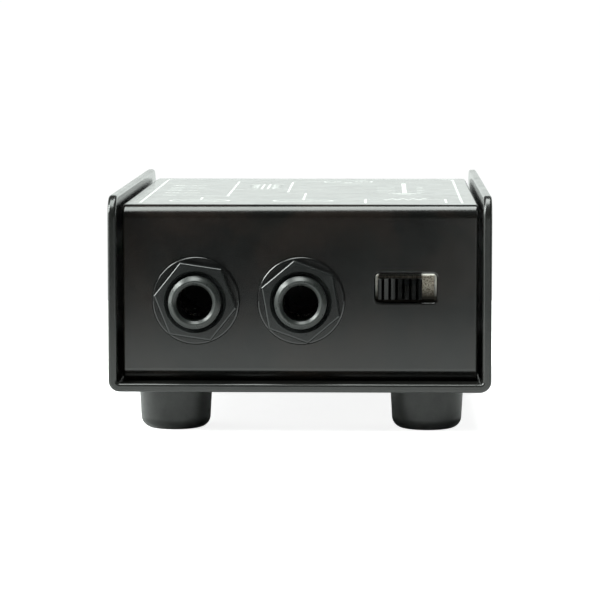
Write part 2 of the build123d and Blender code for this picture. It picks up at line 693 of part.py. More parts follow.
def save_switch():
    fixed = Pos(SWITCH_X, panel_front, switch_z)
    sliding = Pos(knob_rest_x, panel_front, switch_z)
    save(fixed * switch_frame(), "switch_frame")
    save(fixed * switch_base(), "switch_base")
    save(fixed * switch_terminals(), "switch_terminals")
    save(sliding * switch_knob(), "switch_knob")
    save(sliding * switch_wipers(), "switch_wipers")


# ---- Circuit board and what stands on it -------------------------------------------------------


def jack_terminal_places():
    depths = (sleeve_terminal_depth(), tip_terminal_depth())
    return [(x, panel_front + d) for x in JACK_CENTRES_X for d in depths]


def switch_leg_places():
    return [(SWITCH_X + x, panel_front + switch_leg_depth(z)) for x, z in switch_contact_places()]


def transformer_pin_places():
    rail = coil_half_depth - PIN_RAIL / 2
    columns = (-TRANSFORMER_PIN_PITCH, 0, TRANSFORMER_PIN_PITCH)
    return [(x, transformer_y + side * rail) for side in (-1, 1) for x in columns]


def resistor_centres():
    first = CORE_WIDTH / 2 + CLAMP_SHEET + RESISTOR_PITCH
    return [(-first - n * RESISTOR_PITCH, transformer_y) for n in range(RESISTOR_COUNT)]


def resistor_lead_places():
    return [(x, y + side * LEAD_SPAN / 2) for x, y in resistor_centres() for side in (-1, 1)]


def capacitor_centre():
    return (CORE_WIDTH / 2 + CLAMP_SHEET + CAPACITOR_SIZE[0], transformer_y)


def capacitor_lead_places():
    x, y = capacitor_centre()
    return [(x + side * CAPACITOR_LEAD_PITCH / 2, y) for side in (-1, 1)]


def wire_places():
    """Where the output wires enter the board: each is over its own pin, and a lower pin's is further in."""
    places = []
    for x, z in xlr_pin_centres():
        row = WIRE_ROW_SPACING if z < -XLR_PIN_RADIUS else 0
        places.append((x, board_rear - WIRE_EDGE_INSET - row))
    return places


def circuit_board():
    board = box_between(
        (-board_half_width, board_front, board_bottom), (board_half_width, board_rear, board_top)
    )
    board = fillet(board.edges().filter_by(Axis.Z), BOARD_CORNER)
    holes = [(p, math.hypot(TERMINAL_WIDTH, TERMINAL_THICKNESS) / 2) for p in jack_terminal_places()]
    holes += [(p, math.hypot(SWITCH_PIN_WIDTH, SWITCH_PIN_THICKNESS) / 2) for p in switch_leg_places()]
    holes += [(p, TRANSFORMER_PIN_RADIUS) for p in transformer_pin_places()]
    holes += [(p, LEAD_RADIUS) for p in resistor_lead_places() + capacitor_lead_places()]
    holes += [(p, WIRE_CORE_RADIUS) for p in wire_places()]
    for (x, y), radius in holes:
        board -= rod_z(radius + BOARD_HOLE_CLEARANCE, board_bottom - 1, board_top + 1, x, y)
    for side in (-1, 1):
        x = side * (CORE_WIDTH + CLAMP_SHEET) / 2
        half_y = CLAMP_WIDTH / 4 + BOARD_HOLE_CLEARANCE
        half_x = CLAMP_SHEET / 2 + BOARD_HOLE_CLEARANCE
        board -= box_between(
            (x - half_x, transformer_y - half_y, board_bottom - 1),
            (x + half_x, transformer_y + half_y, board_top + 1),
        )
    return board


def resistors():
    bodies, leads = [], []
    axis_z = board_top + RESISTOR_RADIUS + PART_STANDOFF
    low = board_bottom - PIN_STANDOUT
    for x, y in resistor_centres():
        bodies.append(rounded_rod_y(x, y, axis_z))
        for side in (-1, 1):
            inner, outer = y + side * RESISTOR_LENGTH / 2, y + side * LEAD_SPAN / 2
            points = [(x, inner, axis_z), (x, outer, axis_z), (x, outer, low)]
            path = FilletPolyline(*points, radius=LEAD_BEND_RADIUS)
            leads.append(sweep(Plane(path @ 0, z_dir=path % 0) * Circle(LEAD_RADIUS), path))
    return Compound(children=bodies), Compound(children=leads)


def rounded_rod_y(x, y, z):
    body = rod_y(RESISTOR_RADIUS, y - RESISTOR_LENGTH / 2, y + RESISTOR_LENGTH / 2, x, z)
    return fillet(body.edges(), RESISTOR_RADIUS / 2)


def capacitor():
    x, y = capacitor_centre()
    length, width, height = CAPACITOR_SIZE
    low = board_top + PART_STANDOFF
    body = box_between((x - length / 2, y - width / 2, low), (x + length / 2, y + width / 2, low + height))
    rounded = body.edges().filter_by(Axis.Z) + body.faces().sort_by(Axis.Z)[-1].edges()
    body = fillet(rounded, CAPACITOR_EDGE)
    leads = [rod_z(LEAD_RADIUS, board_bottom - PIN_STANDOUT, low, *p) for p in capacitor_lead_places()]
    return body, Compound(children=leads)


# ---- Transformer -------------------------------------------------------------------------------
# Made about the middle of the core, with the coil's axis upright, then hung under the board.

window_height = CORE_HEIGHT - 2 * CORE_LIMB
centre_limb = 2 * CORE_LIMB
core_z = board_bottom - PIN_RAIL - CORE_RAIL_GAP - CORE_HEIGHT / 2


def core_block(low_x, high_x, low_z, high_z):
    return box_between((low_x, -CORE_STACK / 2, low_z), (high_x, CORE_STACK / 2, high_z))


def transformer_e_core():
    """The three-limbed stack of laminations, its back at the bottom."""
    half_width, low, high = CORE_WIDTH / 2, -CORE_HEIGHT / 2, CORE_HEIGHT / 2 - CORE_LIMB
    core = core_block(-half_width, half_width, low, low + CORE_LIMB)
    core += core_block(-half_width, -half_width + CORE_LIMB, low, high)
    core += core_block(-centre_limb / 2, centre_limb / 2, low, high)
    return core + core_block(half_width - CORE_LIMB, half_width, low, high)


def transformer_i_core():
    """The bar of laminations that closes the core at the top."""
    return core_block(-CORE_WIDTH / 2, CORE_WIDTH / 2, CORE_HEIGHT / 2 - CORE_LIMB, CORE_HEIGHT / 2)


def coil_block(margin, depth, half_height):
    """An upright rounded block round the centre limb, margin short of the outer limbs."""
    half_width = CORE_WIDTH / 2 - CORE_LIMB - margin
    block = box_between((-half_width, -depth, -half_height), (half_width, depth, half_height))
    return fillet(block.edges().filter_by(Axis.Z), COIL_CORNER)


def transformer_bobbin():
    sleeve_x = centre_limb / 2 + WINDING_GAP
    sleeve_y = CORE_STACK / 2 + WINDING_GAP
    height = window_height / 2 - WINDING_GAP
    tube = box_between(
        (-sleeve_x - BOBBIN_WALL, -sleeve_y - BOBBIN_WALL, -height),
        (sleeve_x + BOBBIN_WALL, sleeve_y + BOBBIN_WALL, height),
    )
    flange = coil_block(WINDING_GAP, coil_half_depth, BOBBIN_WALL / 2)
    for side in (-1, 1):
        tube += Pos(0, 0, side * (height - BOBBIN_WALL / 2)) * flange
    rail_x = TRANSFORMER_PIN_PITCH + PIN_RAIL_END
    rail_top = board_bottom - core_z - PART_STANDOFF
    for side in (-1, 1):
        near, far = side * (coil_half_depth - PIN_RAIL), side * coil_half_depth
        low_y, high_y = min(near, far), max(near, far)
        tube += box_between((-rail_x, low_y, height - BOBBIN_WALL), (rail_x, high_y, rail_top))
    tube -= box_between((-sleeve_x, -sleeve_y, -height - 1), (sleeve_x, sleeve_y, height + 1))
    for x, y in transformer_pin_places():
        tube -= rod_z(TRANSFORMER_PIN_RADIUS, rail_top - PIN_RAIL, rail_top + 1, x, y - transformer_y)
    return tube


def transformer_winding():
    height = window_height / 2 - WINDING_GAP - BOBBIN_WALL
    coil = coil_block(WINDING_GAP + WINDING_STEP, coil_half_depth - WINDING_STEP, height)
    sleeve_x = centre_limb / 2 + WINDING_GAP + BOBBIN_WALL
    sleeve_y = CORE_STACK / 2 + WINDING_GAP + BOBBIN_WALL
    return coil - box_between((-sleeve_x, -sleeve_y, -height - 1), (sleeve_x, sleeve_y, height + 1))


def transformer_clamp():
    """A steel strap under the core, with a tab at each side that passes up through the board."""
    outer_x = CORE_WIDTH / 2 + CLAMP_SHEET
    low = -CORE_HEIGHT / 2 - CLAMP_SHEET
    shoulder = board_bottom - core_z - PART_STANDOFF
    top = board_top - core_z + PIN_STANDOUT
    strap = box_between((-outer_x, -CLAMP_WIDTH / 2, low), (outer_x, CLAMP_WIDTH / 2, shoulder))
    strap += box_between((-outer_x, -CLAMP_WIDTH / 4, shoulder), (outer_x, CLAMP_WIDTH / 4, top))
    inside = ((-CORE_WIDTH / 2, -CLAMP_WIDTH, -CORE_HEIGHT / 2), (CORE_WIDTH / 2, CLAMP_WIDTH, top + 1))
    return strap - box_between(*inside)


def transformer_pins():
    low = board_bottom - PART_STANDOFF - PIN_RAIL
    top = board_top + PIN_STANDOUT
    return Compound(children=[rod_z(TRANSFORMER_PIN_RADIUS, low, top, *p) for p in transformer_pin_places()])


def save_transformer():
    place = Pos(0, transformer_y, core_z)
    save(place * transformer_e_core(), "transformer_e_core")
    save(place * transformer_i_core(), "transformer_i_core")
    save(place * transformer_bobbin(), "transformer_bobbin")
    save(place * transformer_winding(), "transformer_winding")
    save(place * transformer_clamp(), "transformer_clamp")
    save(transformer_pins(), "transformer_pins")


# ---- XLR output --------------------------------------------------------------------------------
# Made about the connector's axis, with Y running outwards from the rear panel's outer face.


def xlr_screw_centres():
    """The two screws stand on a diagonal of the flange."""
    half_x, half_z = XLR_SCREW_SPACING_X / 2, XLR_SCREW_SPACING_Z / 2
    return [(-half_x, xlr_z + half_z), (half_x, xlr_z - half_z)]


def xlr_pin_centres():
    angles = [math.radians(a) for a in XLR_PIN_ANGLES]
    return [(XLR_PIN_CIRCLE_RADIUS * math.cos(a), XLR_PIN_CIRCLE_RADIUS * math.sin(a)) for a in angles]


def xlr_shell():
    mouth = XLR_FLANGE_THICKNESS + XLR_RIM_HEIGHT
    plate = RectangleRounded(XLR_FLANGE_WIDTH, XLR_FLANGE_HEIGHT, XLR_FLANGE_CORNER)
    flange = extrude(Plane.XZ.offset(-XLR_FLANGE_THICKNESS) * plate, XLR_FLANGE_THICKNESS)
    flange = fillet(flange.faces().sort_by(Axis.Y)[-1].edges(), XLR_FLANGE_EDGE)
    rim = rod_y(XLR_RIM_RADIUS, 0, mouth)
    rim = fillet(rim.edges().sort_by(Axis.Y)[-1:], XLR_RIM_EDGE)
    body = flange + rim + rod_y(XLR_BODY_RADIUS, xlr_body_rear, 0)
    body -= rod_y(XLR_CUP_RADIUS - XLR_INSERT_LIP, xlr_body_rear - 1, xlr_cup_floor + 1)
    flare = XLR_CUP_RADIUS + XLR_MOUTH_CHAMFER
    cup = [(0, xlr_cup_floor), (XLR_CUP_RADIUS, xlr_cup_floor), (XLR_CUP_RADIUS, mouth - XLR_MOUTH_CHAMFER)]
    cup += [(flare, mouth), (flare, mouth + 1), (0, mouth + 1)]
    body -= turned_y(cup)
    notch_y = mouth - LATCH_NOTCH_INSET
    body -= box_between(
        (LATCH_NOTCH_START * XLR_CUP_RADIUS, notch_y - LATCH_NOTCH_LENGTH, -LATCH_NOTCH_WIDTH / 2),
        (XLR_CUP_RADIUS + LATCH_NOTCH_DEPTH, notch_y, LATCH_NOTCH_WIDTH / 2),
    )
    for x, z in xlr_screw_centres():
        body -= countersunk_hole(x, z - xlr_z)
    return body


def countersunk_hole(x, z):
    top = XLR_FLANGE_THICKNESS
    radius = (SCREW_DIAMETER + SCREW_HOLE_CLEARANCE) / 2
    head = SCREW_HEAD_DIAMETER / 2 + COUNTERSINK_CLEARANCE
    cone = [(0, top + 1), (head, top + 1), (head, top), (radius, top - head + radius)]
    cone.append((0, top - head + radius))
    return Pos(x, 0, z) * (turned_y(cone) + rod_y(radius, -1, top))


def xlr_insert():
    radius = XLR_CUP_RADIUS - XLR_INSERT_LIP - XLR_INSERT_CLEARANCE
    body = rod_y(radius, xlr_insert_back, xlr_cup_floor)
    for x, z in xlr_pin_centres():
        body -= rod_y(XLR_PIN_NECK_RADIUS, xlr_insert_back - 1, xlr_cup_floor + 1, x, z)
    return body


def xlr_pins():
    """Three round contacts, each with a rounded tip and a solder cup at the back."""
    tip = XLR_FLANGE_THICKNESS + XLR_RIM_HEIGHT - XLR_PIN_RECESS
    back = xlr_insert_back - XLR_SOLDER_CUP_LENGTH
    pins = []
    for x, z in xlr_pin_centres():
        contact = rod_y(XLR_PIN_RADIUS, xlr_cup_floor, tip, x, z)
        contact = fillet(contact.edges().sort_by(Axis.Y)[-1:], XLR_PIN_TIP_FILLET)
        neck = rod_y(XLR_PIN_NECK_RADIUS, xlr_insert_back, xlr_cup_floor, x, z)
        cup = rod_y(XLR_PIN_RADIUS, back, xlr_insert_back, x, z)
        cup -= rod_y(WIRE_RADIUS + WIRE_CUP_CLEARANCE, back - 1, back + XLR_SOLDER_CUP_DEPTH, x, z)
        pins.append(contact + neck + cup)
    return Compound(children=pins)


def xlr_screws():
    """Two countersunk screws through the flange and the panel."""
    radius, head = SCREW_DIAMETER / 2 - THREAD_CLEARANCE, SCREW_HEAD_DIAMETER / 2
    top = XLR_FLANGE_THICKNESS - COUNTERSINK_CLEARANCE
    tip = top - XLR_SCREW_LENGTH
    outline = [(0, top), (head, top), (radius, top - head + radius), (radius, tip), (0, tip)]
    slot = Box(SCREW_HEAD_DIAMETER * CROSS_RECESS_SHARE, 2 * CROSS_RECESS_DEPTH, CROSS_RECESS_WIDTH)
    slot = Pos(0, top, 0) * (slot + Rot(0, 90, 0) * slot)
    screw = turned_y(outline) - slot
    return Compound(children=[Pos(x, panel_rear, z) * screw for x, z in xlr_screw_centres()])


def xlr_nuts():
    nuts = []
    for x, z in xlr_screw_centres():
        hexagon = RegularPolygon(XLR_NUT_FLATS / 2, 6, major_radius=False)
        nut = extrude(Plane.XZ.offset(COVER_SHEET) * hexagon, XLR_NUT_THICKNESS)
        nut -= rod_y(SCREW_DIAMETER / 2, -COVER_SHEET - XLR_NUT_THICKNESS - 1, 0)
        nuts.append(Pos(x, panel_rear, z) * nut)
    return Compound(children=nuts)


def save_xlr():
    place = Pos(0, panel_rear, xlr_z)
    save(place * xlr_shell(), "xlr_shell")
    save(place * xlr_insert(), "xlr_insert")
    save(place * xlr_pins(), "xlr_pins")
    save(xlr_screws(), "xlr_screws")
    save(xlr_nuts(), "xlr_nuts")


# ---- Wires -------------------------------------------------------------------------------------


def wires():
    """Three wires, each from a hole in the board down and straight back into an XLR solder cup."""
    cup_mouth = panel_rear + xlr_insert_back - XLR_SOLDER_CUP_LENGTH
    made = []
    for (x, y), (_, pin_z) in zip(wire_places(), xlr_pin_centres()):
        start = (x, y, board_bottom - PART_STANDOFF)
        corner = (x, y, xlr_z + pin_z)
        end = (x, cup_mouth + WIRE_CUP_DEPTH, xlr_z + pin_z)
        bend = WIRE_BEND_SHARE * min(math.dist(start, corner), math.dist(corner, end))
        path = FilletPolyline(start, corner, end, radius=bend)
        made.append(sweep(Plane(path @ 0, z_dir=path % 0) * Circle(WIRE_RADIUS), path))
    return made


def save_fixings():
    low = FOOT_RECESS_DEPTH
    tip = flange_top + CLINCH_NUT_HEIGHT + FOOT_SCREW_END
    places = [Pos(x, y, 0) for x, y in foot_centres.values()]
    save(Compound(children=[p * pan_screw(low, tip) for p in places]), "foot_screws")
    save(Compound(children=[p * foot_washer() for p in places]), "foot_washers")
    save(Compound(children=[p * clinch_nut() for p in places]), "clinch_nuts")


def main():
    os.makedirs("parts", exist_ok=True)
    save(tray(), "tray")
    save(cover(), "cover")
    for corner, (x, y) in foot_centres.items():
        save(Pos(x, y, 0) * foot(), "foot_" + corner)
    save_fixings()
    for number, (x, turn) in enumerate(zip(JACK_CENTRES_X, JACK_NUT_TURNS), start=1):
        save_jack(number, x, turn)
    save_switch()
    save(circuit_board(), "circuit_board")
    bodies, leads = resistors()
    save(bodies, "resistor_bodies")
    save(leads, "resistor_leads")
    body, leads = capacitor()
    save(body, "capacitor_body")
    save(leads, "capacitor_leads")
    save_transformer()
    save_xlr()
    for number, wire in enumerate(wires(), start=1):
        save(wire, f"wire_{number}")


main()
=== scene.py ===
import math

import bmesh
import bpy
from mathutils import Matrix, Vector


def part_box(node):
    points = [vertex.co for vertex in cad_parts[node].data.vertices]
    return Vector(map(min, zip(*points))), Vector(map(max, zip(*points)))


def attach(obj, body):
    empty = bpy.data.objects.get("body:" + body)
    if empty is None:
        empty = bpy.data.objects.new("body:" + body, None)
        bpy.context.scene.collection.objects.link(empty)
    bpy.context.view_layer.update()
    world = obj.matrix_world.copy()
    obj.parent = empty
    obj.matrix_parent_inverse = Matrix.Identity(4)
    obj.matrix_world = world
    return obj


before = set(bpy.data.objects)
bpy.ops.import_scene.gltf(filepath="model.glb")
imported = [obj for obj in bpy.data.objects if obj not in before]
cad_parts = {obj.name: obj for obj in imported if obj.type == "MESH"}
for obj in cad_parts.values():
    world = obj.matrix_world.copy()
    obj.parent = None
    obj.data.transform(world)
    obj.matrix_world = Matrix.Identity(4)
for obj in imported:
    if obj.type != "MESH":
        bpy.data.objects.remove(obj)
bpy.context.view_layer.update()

# The looks of a direct injection box: a satin black folded case with two jacks and a slide switch in
# front, line art printed on its top, and the works inside. Lengths are in metres, in the CAD's frame.

MM = 0.001

# ---- Driving values -------------------------------------------------------------------------------

CAMERA_DISTANCE = 554 * MM
CAMERA_SIDE = 14.7 * MM
CAMERA_HEIGHT = 69.2 * MM
CAMERA_YAW = math.radians(1.51)
CAMERA_PITCH = math.radians(5.38)
CAMERA_LENS = 183.5
SENSOR_WIDTH = 36.0

FLOOR_RADIUS = 0.22
FLOOR_SEGMENTS = 96
FLOOR_GLOW = 0.86
SURROUND_GLOW = 1.02
HORIZON_GLOW = 1.5
ROOM_GLOW = 0.02
LIGHT_TINT = (0.94, 1.0, 0.965)
WHITE = (1.0, 1.0, 1.0, 1.0)

WINDOW_WIDTH = 11.2 * MM
WINDOW_HEIGHT = 5.25 * MM
# Width of the switch window's edge strips, which are painted bright as burnished wear and as painted
# highlights.
BURNISHED_AND_HIGHLIT_EDGE = 0.5 * MM
ROLLED_RIM_HEIGHT = 0.16 * MM

INK_THICKNESS = 0.006 * MM
INK_LINE = 0.45 * MM
INK_BOLD = 0.9 * MM

TRACE_THICKNESS = 0.03 * MM
TRACE_STEP = 0.004 * MM
TRACE_WIDTH = 0.9 * MM
TRACE_SHORTEST = 0.05 * MM
SOLDER_RADIUS = 0.95 * MM
SOLDER_HEIGHT = 0.8 * MM
SOLDER_LIFT = 0.02 * MM
SOLDER_SEGMENTS = 20

# A solder joint's rings from the board up, as shares of its radius and of its height.
SOLDER_PROFILE = ((1.0, 0.0), (0.86, 0.05), (0.66, 0.2), (0.52, 0.45), (0.42, 0.75), (0.34, 1.0))

# How far inside its end each of these passes through the board.
RESISTOR_LEAD_INSET = 0.28 * MM
SWITCH_TERMINAL_INSET = 0.17 * MM
WIRE_INSET = 0.75 * MM


# ---- Material building blocks ---------------------------------------------------------------------

# Nearly all of a noise texture's values lie between these two.
NOISE_LOW = 0.3
NOISE_HIGH = 0.7

# A wave texture turns through this many radians in one unit of length.
WAVE_RADIANS = 20

# Where a Mix node keeps its two colours and the colour it gives.
MIX_COLOUR_A = 6
MIX_COLOUR_B = 7
MIX_COLOUR_RESULT = 2


class Surface:
    """A Principled material whose textures read object coordinates, so features are a real size."""

    def __init__(self, name, metallic=0.0, specular=0.5, coat=0.0, coat_roughness=0.1):
        self.material = bpy.data.materials.new(name)
        self.material.use_nodes = True
        self.nodes = self.material.node_tree.nodes
        self.links = self.material.node_tree.links
        self.shader = self.nodes["Principled BSDF"]
        self.shader.inputs["Metallic"].default_value = metallic
        self.shader.inputs["Specular IOR Level"].default_value = specular
        self.shader.inputs["Coat Weight"].default_value = coat
        self.shader.inputs["Coat Roughness"].default_value = coat_roughness
        self.coordinates = self.nodes.new("ShaderNodeTexCoord").outputs["Object"]

    def noise(self, feature, detail=3.0, roughness=0.55, distortion=0.0, stretch=(1, 1, 1)):
        """Noise whose features are about this many metres across."""
        mapping = self.nodes.new("ShaderNodeMapping")
        mapping.inputs["Scale"].default_value = stretch
        self.links.new(self.coordinates, mapping.inputs["Vector"])
        texture = self.nodes.new("ShaderNodeTexNoise")
        texture.inputs["Scale"].default_value = 1 / feature
        texture.inputs["Detail"].default_value = detail
        texture.inputs["Roughness"].default_value = roughness
        texture.inputs["Distortion"].default_value = distortion
        self.links.new(mapping.outputs["Vector"], texture.inputs["Vector"])
        return texture.outputs["Fac"]

    def stripes(self, pitch, axis, distortion=0.0):
        """Bands across one axis, this many metres apart."""
        texture = self.nodes.new("ShaderNodeTexWave")
        texture.bands_direction = axis
        texture.inputs["Scale"].default_value = math.tau / WAVE_RADIANS / pitch
        texture.inputs["Distortion"].default_value = distortion
        self.links.new(self.coordinates, texture.inputs["Vector"])
        return texture.outputs["Fac"]

    def remap(self, value, low, high, to_low=0.0, to_high=1.0):
        """Takes low to to_low and high to to_high, and goes no further at either end."""
        node = self.nodes.new("ShaderNodeMapRange")
        node.inputs["From Min"].default_value = low
        node.inputs["From Max"].default_value = high
        node.inputs["To Min"].default_value = to_low
        node.inputs["To Max"].default_value = to_high
        self.links.new(value, node.inputs["Value"])
        return node.outputs["Result"]

    def blend(self, factor, first, second):
        """Mixes two colours, each an (r, g, b) or another node's output."""
        node = self.nodes.new("ShaderNodeMix")
        node.data_type = "RGBA"
        self.links.new(factor, node.inputs["Factor"])
        for place, colour in ((MIX_COLOUR_A, first), (MIX_COLOUR_B, second)):
            socket = node.inputs[place]
            if isinstance(colour, tuple):
                socket.default_value = (*colour, 1.0)
            else:
                self.links.new(colour, socket)
        return node.outputs[MIX_COLOUR_RESULT]

    def highest(self, first, *others):
        """The highest of several values."""
        for other in others:
            node = self.nodes.new("ShaderNodeMath")
            node.operation = "MAXIMUM"
            self.links.new(first, node.inputs[0])
            self.links.new(other, node.inputs[1])
            first = node.outputs["Value"]
        return first

    def colour(self, output):
        self.links.new(output, self.shader.inputs["Base Color"])

    def roughness(self, value, low, high):
        """Spreads a noise over a range of roughness."""
        spread = self.remap(value, NOISE_LOW, NOISE_HIGH, low, high)
        self.links.new(spread, self.shader.inputs["Roughness"])

    def bump(self, value, height, strength=1.0):
        """Adds relief this many metres high, on top of any relief there is."""
        node = self.nodes.new("ShaderNodeBump")
        node.inputs["Strength"].default_value = strength
        node.inputs["Distance"].default_value = height
        self.links.new(value, node.inputs["Height"])
        normal = self.shader.inputs["Normal"]
        if normal.is_linked:
            self.links.new(normal.links[0].from_socket, node.inputs["Normal"])
        self.links.new(node.outputs["Normal"], normal)


# ---- Materials ------------------------------------------------------------------------------------


def powder_coat(name, clean, dusty, roughness, patch, grain=0.35 * MM):
    """Satin powder coat: faint patches of handling marks over a fine orange peel."""
    surface = Surface(name, specular=0.6)
    patches = surface.noise(patch, detail=5.0, roughness=0.6, distortion=0.8)
    surface.colour(surface.blend(surface.remap(patches, 0.42, 0.68), clean, dusty))
    surface.roughness(surface.noise(patch / 2, detail=6.0, roughness=0.7, distortion=1.5), *roughness)
    surface.bump(surface.noise(grain, detail=2.0), 0.004 * MM, 0.4)
    return surface.material


def moulded_plastic(name, colour, sheen, roughness):
    """Moulded black plastic with a fine spark-eroded texture."""
    surface = Surface(name, specular=0.5)
    surface.colour(surface.blend(surface.noise(4 * MM, detail=4.0), colour, sheen))
    surface.roughness(surface.noise(1.5 * MM, detail=4.0), *roughness)
    surface.bump(surface.noise(0.25 * MM, detail=2.0), 0.002 * MM, 0.4)
    return surface.material


def rubber(name):
    """Matt black rubber with a light bloom in patches."""
    surface = Surface(name, specular=0.4)
    bloom = surface.remap(surface.noise(3 * MM, detail=5.0, roughness=0.65), 0.35, 0.75)
    surface.colour(surface.blend(bloom, (0.009, 0.009, 0.009), (0.022, 0.023, 0.0215)))
    surface.roughness(surface.noise(1.2 * MM, detail=4.0), 0.3, 0.42)
    surface.bump(surface.noise(0.3 * MM, detail=3.0), 0.006 * MM, 0.4)
    return surface.material


def bare_metal(name, bright, dull, roughness, brushed=(1, 1, 1)):
    """Plated or bare metal with faint staining and, when stretched, a brushed grain."""
    surface = Surface(name, metallic=1.0)
    feature = 0.6 * MM
    stain = surface.noise(feature * 4, detail=5.0, roughness=0.65)
    surface.colour(surface.blend(surface.remap(stain, 0.35, 0.7), bright, dull))
    surface.roughness(surface.noise(feature, detail=3.0, stretch=brushed), *roughness)
    surface.bump(surface.noise(feature / 2, detail=3.0, stretch=brushed), 0.003 * MM, 0.4)
    return surface.material


def switch_plate(name):
    """Nickel plate gone warm and speckled from handling, with painted shade darkening it towards the
    bottom of the window. Its edges are painted bright, as burnished wear and as painted highlights,
    and all but the left one are rolled."""
    surface = Surface(name, metallic=1.0)
    specks = surface.noise(0.22 * MM, detail=4.0, roughness=0.8)
    aged = surface.blend(surface.remap(specks, 0.42, 0.58), (0.42, 0.38, 0.32), (0.1, 0.08, 0.06))
    split = surface.nodes.new("ShaderNodeSeparateXYZ")
    surface.links.new(surface.coordinates, split.inputs["Vector"])
    low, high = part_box("switch_frame")
    middle = (low + high) / 2
    edges = []
    for axis, centre, half in (("X", middle.x, WINDOW_WIDTH / 2), ("Z", middle.z, WINDOW_HEIGHT / 2)):
        below = surface.remap(split.outputs[axis], centre - half + BURNISHED_AND_HIGHLIT_EDGE, centre - half)
        above = surface.remap(split.outputs[axis], centre + half - BURNISHED_AND_HIGHLIT_EDGE, centre + half)
        edges += [below, above]
    left, *rolled = edges
    rolled = surface.highest(*rolled)
    # Painted highlight, partly burnished wear: the window's edge strips are coloured near white, much
    # brighter than the rest of the plate.
    worn_and_highlit = surface.blend(surface.highest(left, rolled), aged, (0.86, 0.85, 0.8))
    # Painted shade: the plate's colour fades to near black towards the bottom of the window, and is
    # fully dark in its lower part.
    painted_shade_top = middle.z - WINDOW_HEIGHT / 3
    unshaded_from = middle.z + WINDOW_HEIGHT / 8
    clean = surface.remap(split.outputs["Z"], painted_shade_top, unshaded_from)
    surface.colour(surface.blend(clean, (0.02, 0.018, 0.015), worn_and_highlit))
    surface.roughness(specks, 0.25, 0.5)
    surface.bump(specks, 0.01 * MM, 0.6)
    surface.bump(rolled, ROLLED_RIM_HEIGHT)
    return surface.material


def phenolic(name):
    """Brown paper laminate with a fibre grain."""
    surface = Surface(name)
    fibre = surface.noise(0.5 * MM, detail=5.0, roughness=0.7, stretch=(0.25, 1, 1))
    surface.colour(surface.blend(fibre, (0.26, 0.13, 0.05), (0.42, 0.24, 0.1)))
    surface.roughness(surface.noise(1.0 * MM), 0.4, 0.6)
    surface.bump(fibre, 0.01 * MM, 0.5)
    return surface.material


def solder_resist(name):
    """Green resist over glass cloth, whose weave shows faintly."""
    surface = Surface(name, coat=0.4, coat_roughness=0.15)
    weave = surface.stripes(0.5 * MM, "X", 0.4)
    depth = surface.noise(6 * MM, detail=3.0)
    surface.colour(surface.blend(depth, (0.01, 0.11, 0.035), (0.018, 0.16, 0.05)))
    surface.roughness(surface.noise(0.8 * MM), 0.28, 0.42)
    surface.bump(weave, 0.004 * MM, 0.4)
    surface.bump(surface.stripes(0.5 * MM, "Y", 0.4), 0.004 * MM, 0.4)
    return surface.material


def banded_lacquer(name, body, low_y, high_y):
    """A resistor's lacquer, with colour bands around it between two places along Y."""
    surface = Surface(name, coat=0.5, coat_roughness=0.12)
    split = surface.nodes.new("ShaderNodeSeparateXYZ")
    surface.links.new(surface.coordinates, split.inputs["Vector"])
    ramp = surface.nodes.new("ShaderNodeValToRGB")
    ramp.color_ramp.interpolation = "CONSTANT"
    brown, black, gold = (0.3, 0.09, 0.02), (0.01, 0.01, 0.01), (0.45, 0.27, 0.04)
    bands = [(0.0, body), (0.16, brown), (0.25, body), (0.33, black), (0.42, body)]
    bands += [(0.5, black), (0.59, body), (0.78, gold), (0.87, body)]
    elements = ramp.color_ramp.elements
    while len(elements) < len(bands):
        elements.new(0.5)
    for element, (place, colour) in zip(elements, bands):
        element.position = place
        element.color = (*colour, 1.0)
    along = surface.remap(split.outputs["Y"], low_y, high_y)
    surface.links.new(along, ramp.inputs["Fac"])
    fade = surface.remap(surface.noise(1.0 * MM), NOISE_LOW, NOISE_HIGH, 0.0, 0.12)
    surface.colour(surface.blend(fade, ramp.outputs["Color"], (0.5, 0.5, 0.45)))
    surface.roughness(surface.noise(0.7 * MM), 0.25, 0.4)
    surface.bump(surface.noise(0.6 * MM), 0.01 * MM, 0.4)
    return surface.material


def glossy_plastic(name, colour, faded, roughness=(0.22, 0.36)):
    """Smooth coloured plastic or lacquer, a little faded in patches."""
    surface = Surface(name, coat=0.2, coat_roughness=0.15)
    feature = 2 * MM
    surface.colour(surface.blend(surface.noise(feature, detail=4.0), colour, faded))
    surface.roughness(surface.noise(feature / 2), *roughness)
    surface.bump(surface.noise(feature / 6, detail=2.0), 0.006 * MM, 0.5)
    return surface.material


def laminations(name):
    """The cut edges of a stack of thin steel sheets, dark between the sheets."""
    surface = Surface(name, metallic=0.9)
    sheets = surface.stripes(0.5 * MM, "Y", 0.1)
    surface.colour(surface.blend(sheets, (0.09, 0.085, 0.085), (0.3, 0.29, 0.28)))
    surface.roughness(surface.noise(0.8 * MM, detail=5.0), 0.35, 0.6)
    surface.bump(sheets, 0.03 * MM, 0.8)
    return surface.material


def winding_tape(name):
    """Yellow polyester tape wound over the coil, its edges showing as low ridges."""
    surface = Surface(name, coat=0.5, coat_roughness=0.08)
    turns = surface.stripes(2.4 * MM, "Z", 0.6)
    surface.colour(surface.blend(turns, (0.5, 0.33, 0.03), (0.72, 0.5, 0.07)))
    surface.roughness(surface.noise(1.2 * MM), 0.2, 0.35)
    surface.bump(turns, 0.04 * MM, 0.6)
    return surface.material


def screen_ink(name):
    """Pale screen-printed ink, a little thin in places."""
    surface = Surface(name, specular=0.4)
    wear = surface.noise(0.5 * MM, detail=5.0, roughness=0.7)
    surface.colour(surface.blend(surface.remap(wear, 0.3, 0.75), (0.62, 0.64, 0.62), (0.42, 0.44, 0.42)))
    surface.roughness(wear, 0.24, 0.36)
    surface.bump(wear, 0.004 * MM, 0.5)
    return surface.material


